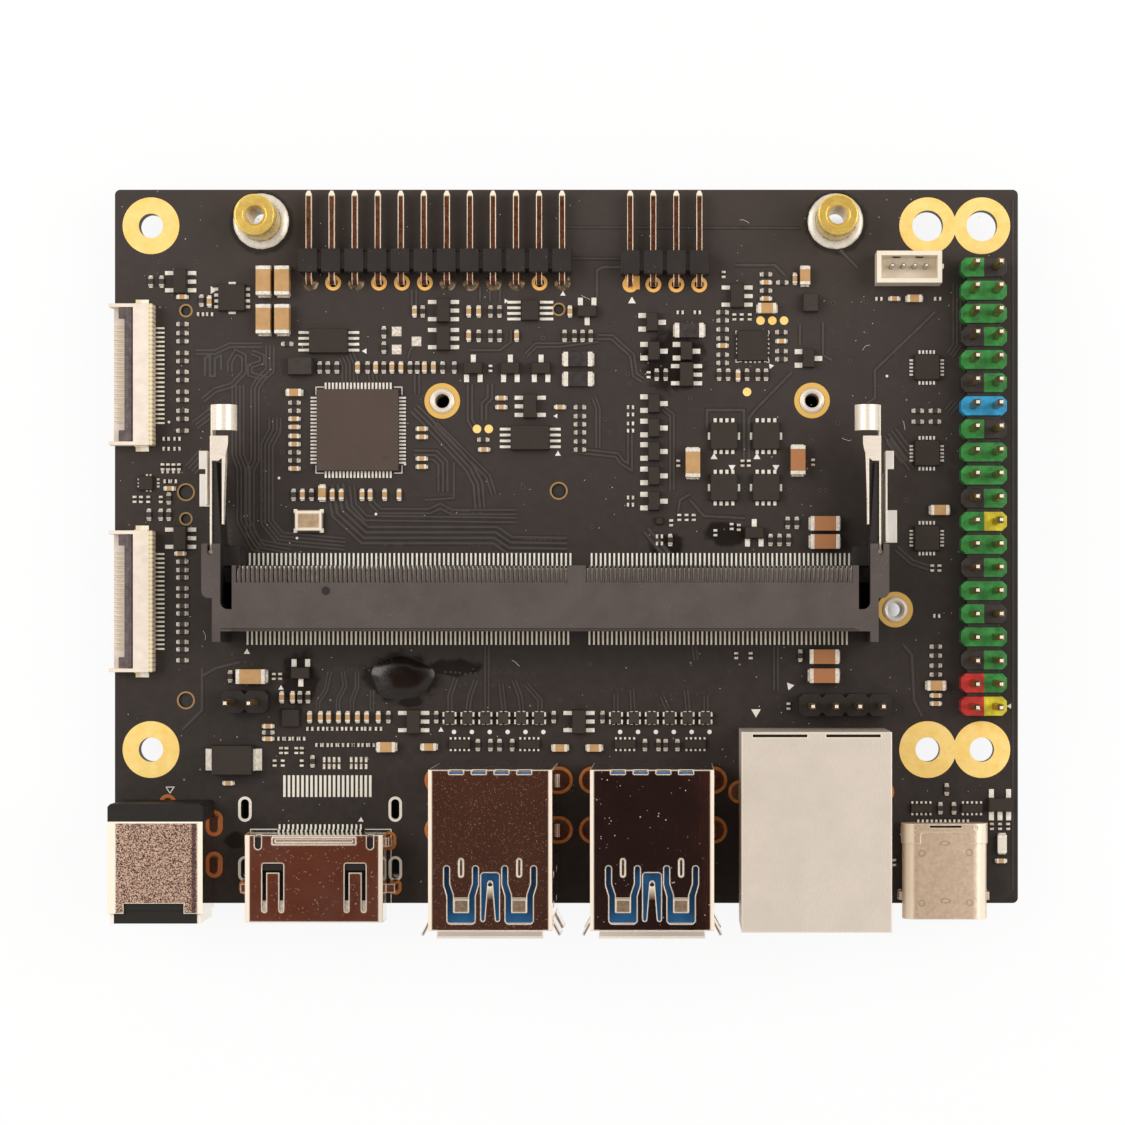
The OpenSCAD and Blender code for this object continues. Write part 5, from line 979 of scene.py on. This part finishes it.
# The smallest chip resistors, about 0.6 mm long, by their middles in mm
TINY_ACROSS = [
    (5.5, 48.2), (6.5, 48.2), (1.7, 34.4), (2.9, 34.4), (1.7, 33.3), (2.9, 33.3), (1.8, 29.7), (2.5, 29.7),
    (14.4, 1.2), (15.1, 1.2), (16, 1.2), (16.7, 1.2), (58.6, 48.4), (60.5, 48.4), (53.1, 37.9), (53.1, 37.1),
    (53.1, 36.1), (53.1, 35.3), (80.6, 49.9), (87.1, 49.9), (87, 14.8), (53.1, 27.9), (53.1, 27.1),
    (56.3, 23.6), (56.3, 22.8),
]
TINY_ACROSS += [(x, 2.3) for x in (17.6, 18.8, 19.8, 20.9, 21.9, 23.1, 24, 25.2)]
TINY_ACROSS += [(x, 0.5) for x in (18.6, 19.3, 20.3, 21, 22.1, 22.7, 23.7, 24.4)]
TINY_UP = [
    (13.6, 8.1), (14.3, 8.1), (14.4, -0.1), (15, -0.1), (16.1, -0.1), (16.7, -0.1), (13.7, -1.5),
    (14.6, -1.5), (16.7, -1.5), (37.6, 42.2), (55.1, 41.5), (58.4, 31.7), (63.4, 52.6), (64.6, 47.9),
    (65.4, 47.9), (66.3, 47.9), (65.5, 31.7), (66.2, 31.7), (73.3, 31.8), (64.3, 24.7), (65.1, 24.6),
    (62.5, 24), (86.5, 20.1), (87.3, 20.1), (64.8, 10.4), (66.4, 10.4), (70.6, 4.8), (57.6, 25.1),
    (58.5, 25.7), (59.3, 25.7), (60.1, 25.7), (93.1, -8.5), (94, -8.5), (94.9, -8.5), (82.3, -12.5),
]
TINY_UP += [(x, 31.3) for x in (1.3, 1.9, 2.5, 3.1)] + [(x, 27.7) for x in (-1.8, -1.1, -0.3, 1.1)]
# Small pads: places along and up in pixels, then length and width in mm; and corner pads by their corners
PAD_GRIDS = [
    ((746, 750.5, 755, 759.5), (331.8, 361.6), 0.28, 0.26),
    ((737.4, 768.2), (339, 343.8, 348.4, 352.8), 0.28, 0.24),
    ((139, 158.3), (479.3, 483, 486.4), 0.3, 0.22), ((147, 150.6), (475.3, 490.2), 0.24, 0.3),
    ((162.5, 167.8, 173.5, 178.8), (471.8,), 0.28, 0.36),
]
PAD_CORNERS = [(737.2, 331.4, 1, 1), (737.2, 362, 1, -1), (768.6, 331.4, -1, 1), (768.6, 362, -1, -1)]
TEST_PADS = [(27.2, 46.3), (27.2, 44.3), (29.4, 45.2)]
NETWORKS = (20, 23)


def tiny_parts():
    bodies, ends = Sketch(), Sketch()
    for places, turn in ((TINY_ACROSS, 0), (TINY_UP, 90)):
        c, s = math.cos(math.radians(turn)), math.sin(math.radians(turn))
        for x, y in places:
            bodies.block(x, y, TOP, 0.3, 0.3, 0.24, turn, 0.06)
            for k in (-0.26, 0.26):
                ends.block(x + k * c, y + k * s, TOP, 0.3, 0.46, 0.2, turn, 0.15)
    for x0 in NETWORKS:
        for i in range(4):
            for k in (-1, 1):
                ends.block(x0 + (i - 1.5) * 0.55, -1.5 + 0.38 * k, TOP, 0.3, 0.62, 0.12, 0, 0.12)
    for x in CHOKES:
        for a in (-1, 1):
            for b in (-1, 1):
                ends.block(x + a * 0.66, 3.5 + b * 0.42, TOP, 0.2, 0.5, 0.72)
                ends.block(x + a * 0.28, 3.5 + b * 0.7, TOP, 0.34, 0.12, 0.1)
    for x, y in TEST_PADS:
        ends.block(x, y, TOP, 1.1, 1.1, 0.08, 0, 0.1)
    pads = [(u, v, l, w) for along, up, l, w in PAD_GRIDS for u in along for v in up]
    for u, v, a, b in PAD_CORNERS:
        pads += [(u + 2.4 * a, v + b, 0.55, 0.24), (u + a, v + 2.6 * b, 0.24, 0.58)]
    for u, v, l, w in pads:
        ends.block(*spot(u, v), TOP, l, w, 0.05, 0, 0.1)
    bodies.done("tiny_resistors", DEEP, "resistor_film")
    ends.done("tiny_resistor_ends", TIN, "tinned_steel")


# Solder that runs out on the pads from the metal ends of the chip parts
def loose_parts(node):
    """Lowest and highest corner, in mm, of each loose part of a node."""
    bm = bmesh.new()
    bm.from_mesh(nodes[node].data)
    bmesh.ops.remove_doubles(bm, verts=bm.verts, dist=0.000001)
    seen, boxes = set(), []
    for start in bm.verts:
        if start in seen:
            continue
        seen.add(start)
        stack, part = [start], []
        while stack:
            v = stack.pop()
            part.append(v.co * 1000)
            for other in (e.other_vert(v) for e in v.link_edges):
                if other not in seen:
                    seen.add(other)
                    stack.append(other)
        boxes.append([Vector(f(c[k] for c in part) for k in range(3)) for f in (min, max)])
    bm.free()
    return boxes


def fillets():
    reach = 0.22
    s = Sketch()
    bodies = [(low + high) / 2 for low, high in loose_parts("resistors") + loose_parts("capacitors")]
    for low, high in loose_parts("part_ends"):
        size, middle = high - low, (low + high) / 2
        away = middle - min(bodies, key=lambda c: (c - middle).length)
        height = min(0.3, size.z * 0.6)
        if abs(away.x) > abs(away.y):
            x = middle.x + math.copysign((size.x + reach) / 2 - 0.03, away.x)
            s.block(x, middle.y, TOP, reach, size.y * 0.9, height, 0, 0.16)
        else:
            y = middle.y + math.copysign((size.y + reach) / 2 - 0.03, away.y)
            s.block(middle.x, y, TOP, size.x * 0.9, reach, height, 0, 0.16)
    s.done("solder_fillets", TIN, "tinned_steel")


# Solder collars at the pins that come through, and the wide rings under the standoffs
COLLARS = (0, 2, 6, 7, 8, 9, 11)
COLLAR = [(0.9, TOP + 0.04), (0.78, TOP + 0.16), (0.5, TOP + 0.42), (0.34, TOP + 0.8)]
STAND_RING = [(3.08, TOP), (3.06, TOP + 0.05), (2.85, TOP + 0.13), (2.4, TOP + 0.3), (2.27, TOP + 0.55)]
SQUARE_PAD = (632.5, 282.5)


def solder():
    s, base, pad = Sketch(), Sketch(), Sketch()
    for i in COLLARS:
        s.lathe(SIDE_HEADER + (i - 5.5) * PITCH, 51.7, COLLAR, 22)
    for x in STANDOFFS:
        base.lathe(x, 58.5, STAND_RING, 64)
    for v in list(s.bm.verts) + list(base.bm.verts):
        v.co.xy += Vector((dice.uniform(-0.03, 0.03), dice.uniform(-0.03, 0.03)))
    s.done("solder_collars", SOLDER, "tinned_steel", smooth=True)
    base.done("standoff_solder", STAND_SOLDER, "tinned_steel", smooth=True)
    pad.block(*spot(*SQUARE_PAD), TOP, 1.62, 1.5, 0.045, 0, 0.03)
    pad.done("square_pad", GOLD, "contact_metal")


# Rings round the legs of the front connectors: middle, length, width and the hole's diameter
LEG_RINGS = [(x + 6.7 * side, y, 3.05, 3.05, 2.3) for x in STACKS for side in (-1, 1) for y in (-8.9, -3.4)]
LEG_RINGS += [
    (65.2, -4.7, 2.6, 2.6, 1.85), (81.0, -4.7, 2.6, 2.6, 1.85), (7.0, -8.17, 1.9, 2.9, 1.05),
    (7.0, -12.75, 1.9, 2.9, 1.05), (1.85, -6.4, 1.9, 2.9, 1.05), (26.4, -10.1, 1.55, 2.1, 0.85),
    (11.1, -10.1, 1.55, 2.1, 0.85), (27.05, -15.2, 1.42, 1.75, 0.8), (10.45, -15.2, 1.42, 1.75, 0.8),
]


def leg_rings():
    rings, fills = Sketch(), Sketch()
    for x, y, l, w, hole in LEG_RINGS:
        pull = (0, (w - l) / 2)
        r = hole / 2
        band = [(l / 2, TOP), (l / 2 - 0.03, TOP + 0.05), (r + 0.03, TOP + 0.05), (r, TOP)]
        rings.lathe(x, y, band, 32, pull)
        fills.lathe(x, y, [(r, TOP + 0.03), (r * 0.8, TOP + 0.002), (r * 0.4, TOP + 0.001)], 32, pull)
        open_edges = [e for e in fills.bm.edges if e.is_boundary]
        floor = [e for e in open_edges if all(v.co.z < TOP + 0.0015 for v in e.verts)]
        bmesh.ops.holes_fill(fills.bm, edges=floor)
    rings.done("leg_rings", COPPER_RING, "contact_metal")
    fills.done("leg_solder", DARK_SOLDER, "tinned_steel", smooth=True)


# The largest drop of flux, a low smooth dome
def flux_drop():
    s = Sketch()
    x, y = spot(*FLUX_DROP)
    dome = [(3.4 * k, TOP + 0.45 * (1 - k ** 2.6)) for k in (1.0, 0.94, 0.84, 0.7, 0.5, 0.25, 0)]
    for p in s.lathe(x, y, dome, 40):
        a = math.atan2(p.co.y - y, p.co.x - x)
        lean = 1 + 0.05 * math.sin(3 * a + 1) + 0.04 * math.sin(5 * a)
        p.co.x = x + (p.co.x - x) * lean
        p.co.y = y + (p.co.y - y) * lean * 0.7
    s.done("flux_drop", dried_flux(), smooth=True)


# Bent tips of the shield springs, seen through the cut-outs of the stacked and video sockets
STACK_ROOF, VIDEO_MIDDLE = 17.18, 18.75


def spring_tips():
    tips, feet, heads, hole_shades = [Sketch() for _ in range(4)]
    for x in STACKS:
        for side in (-3.05, 3.05):
            tips.block(x + side, -15.9, STACK_ROOF - 0.32, 1.66, 1.5, 0.38, 0, 0.04)
            tips.block(x + side, -15.04, STACK_ROOF, 1.62, 0.12, 0.05, 0, 0.04)
        heads.block(x, -14.3, STACK_ROOF, 0.62, 1.9, 0.04, 0, 0.1)
        # dark discs on the spring heads: painted shade for their holes
        cap = STACK_ROOF + 0.05
        hole_shades.lathe(x, -13.62, [(0.2, STACK_ROOF + 0.01), (0.2, cap), (0, cap)], 18, (0.04, 0))
    for side in (-4.48, 4.48):
        for leg in (-0.93, 0.93):
            feet.block(VIDEO_MIDDLE + side + leg, -16.8, 7.1, 0.42, 1.2, 0.12, 0, 0.1)
    tips.done("stack_spring_tips", TIP, "shell_metal")
    feet.done("spring_feet", TIN, "shell_metal")
    heads.done("spring_heads", TONGUE, "shell_metal")
    hole_shades.done("spring_head_hole_shades", DEEP, "shell_metal")


# Flip latches of the camera sockets: a round bar, a thin plate and two end tabs, slimmer than the solids
def flip_latches():
    axis_x, axis_z, radius = -2.15, 3.05, 0.45
    plate, tab, tab_l, pin = 0.45, 1.1, 1.2, 0.2
    for side in ("back", "front"):
        node = "camera_latch_" + side
        low, high = [corner[1] * 1000 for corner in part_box(node)]
        middle, half = (low + high) / 2, (high - low) / 2 - 0.35
        s = Sketch()
        for r, reach in ((radius, half), (pin, half + 0.35)):
            turn = Matrix.Translation((axis_x, middle, axis_z)) @ Matrix.Rotation(math.pi / 2, 4, "X")
            bmesh.ops.create_cone(s.bm, cap_ends=True, segments=28, radius1=r, radius2=r, depth=2 * reach,
                                  matrix=turn)
        y0, y1 = middle - half, middle + half
        x0, x1, x2 = axis_x - tab, axis_x - plate, axis_x + 0.02
        s.prism([(x0, y0), (x2, y0), (x2, y1), (x0, y1), (x0, y1 - tab_l), (x1, y1 - tab_l), (x1, y0 + tab_l),
                 (x0, y0 + tab_l)], axis_z - 0.05, axis_z + radius - 0.01)
        piece = s.done("camera_flip_" + side, FLIP, "latch_plastic", "body_" + node)
        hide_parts(node)


# Two dark plates on the wall of the fan socket: painted shade for its two windows
def fan_window_shades():
    s = Sketch()
    for x in (82.42, 84.92):
        s.block(x, 54.25, TOP + 1.55, 0.82, 0.03, 0.8)
    s.done("fan_window_shades", DEEP, "black_plastic")


# Grains of dust on the board, and loose fibres by their first point in pixels
FIBRES = [(870, 345), (842, 438), (300, 560), (740, 220), (520, 666), (905, 430), (205, 640), (590, 300)]


def litter():
    s = Sketch()
    for _ in range(420):
        x, y = dice.uniform(-3.5, 95), dice.uniform(-8, 61)
        l, w = dice.uniform(0.05, 0.14), dice.uniform(0.04, 0.1)
        s.block(x, y, TOP, l, w, 0.05, dice.uniform(0, 90), 0.3)
    for u, v in FIBRES:
        x, y = spot(u, v)
        a = dice.uniform(0, 6.28)
        path = [(x, y)]
        for _ in range(7):
            a += dice.uniform(-0.5, 0.5)
            x, y = x + 0.16 * math.cos(a), y + 0.16 * math.sin(a)
            path.append((x, y))
        s.ribbon(path, 0.035, TOP + 0.02, TOP + 0.05)
    s.done("dust_and_fibres", INK)


copper_runs()
vias()
ink()
tiny_parts()
fillets()
solder()
leg_rings()
flux_drop()
spring_tips()
flip_latches()
fan_window_shades()
litter()


# Stage: a pale floor with a painted shadow under the board, and a dark card over the camera that only mirror
# surfaces see
def floor():
    g = Graph("pale_floor")
    # under: painted shadow on the floor beneath the board, which does not glow there
    under = g.zone(7, 82.5, -15.6, 58.5, 0.0014)
    g.colour(g.blend(under, g.drift(9, 3, [0.9] * 3, [0.94] * 3), [0.02] * 3))
    g.fixed("Roughness", 0.9)
    g.fixed("Specular IOR Level", 0.1)
    glow = g.add("ShaderNodeEmission")
    glow.inputs["Color"].default_value = (1, 1, 1, 1)
    glow.inputs["Strength"].default_value = 1.0
    path = g.add("ShaderNodeLightPath")
    mix = g.add("ShaderNodeMixShader")
    seen = g.any_of(*[path.outputs[ray] for ray in ("Is Camera Ray", "Is Glossy Ray", "Is Transmission Ray")])
    g.wire(g.both(g.both(seen, 0.9), g.ramp(under, 0, 1, 1, 0)), mix.inputs[0])
    g.wire(g.bsdf.outputs[0], mix.inputs[1])
    g.wire(glow.outputs[0], mix.inputs[2])
    g.wire(mix.outputs[0], g.tree.nodes["Material Output"].inputs["Surface"])
    bm = bmesh.new()
    bmesh.ops.create_grid(bm, x_segments=8, y_segments=8, size=1.5)
    bmesh.ops.translate(bm, verts=bm.verts, vec=(0.05, 0.02, -0.0043))
    put("floor", bm, g.mat)


def card():
    g = Graph("dark_card")
    brown = g.blend(g.zone(-7, 33.2, -80, -17, 0.002), (101, 57, 43), (78, 53, 44))
    glow = g.add("ShaderNodeEmission")
    glow.inputs["Strength"].default_value = 1.0
    g.wire(g.blend(g.zone(33.2, 69.8, -80, -17, 0.002), brown, (42, 31, 30)), glow.inputs["Color"])
    g.wire(glow.outputs[0], g.tree.nodes["Material Output"].inputs["Surface"])
    bm = bmesh.new()
    bmesh.ops.create_circle(bm, cap_ends=True, segments=48, radius=0.16)
    bmesh.ops.translate(bm, verts=bm.verts, vec=(0.05, 0.02, 0.42))
    sheet = put("card", bm, g.mat)
    for ray in ("camera", "diffuse", "shadow", "transmission"):
        setattr(sheet, "visible_" + ray, False)


# A plain light sky and two wide soft lamps
def lights():
    sky = bpy.data.worlds.new("sky")
    sky.use_nodes = True
    back = sky.node_tree.nodes["Background"]
    back.inputs["Color"].default_value = (1, 0.985, 0.965, 1)
    back.inputs["Strength"].default_value = 0.6
    bpy.context.scene.world = sky
    for name, place in (("lamp_left", (-0.32, 0.14, 0.42)), ("lamp_right", (0.42, 0.10, 0.42))):
        lamp = bpy.data.lights.new(name, "AREA")
        lamp.shape = "SQUARE"
        lamp.size = 0.34
        lamp.energy = 1.25
        lamp.color = (1, 0.98, 0.95)
        holder = bpy.data.objects.new(name, lamp)
        holder.location = place
        aim = Vector((0.046, 0.02, 0)) - Vector(place)
        holder.rotation_euler = aim.to_track_quat("-Z", "Y").to_euler()
        link(holder)
    bpy.context.scene.view_settings.view_transform = "Standard"


floor()
card()
lights()
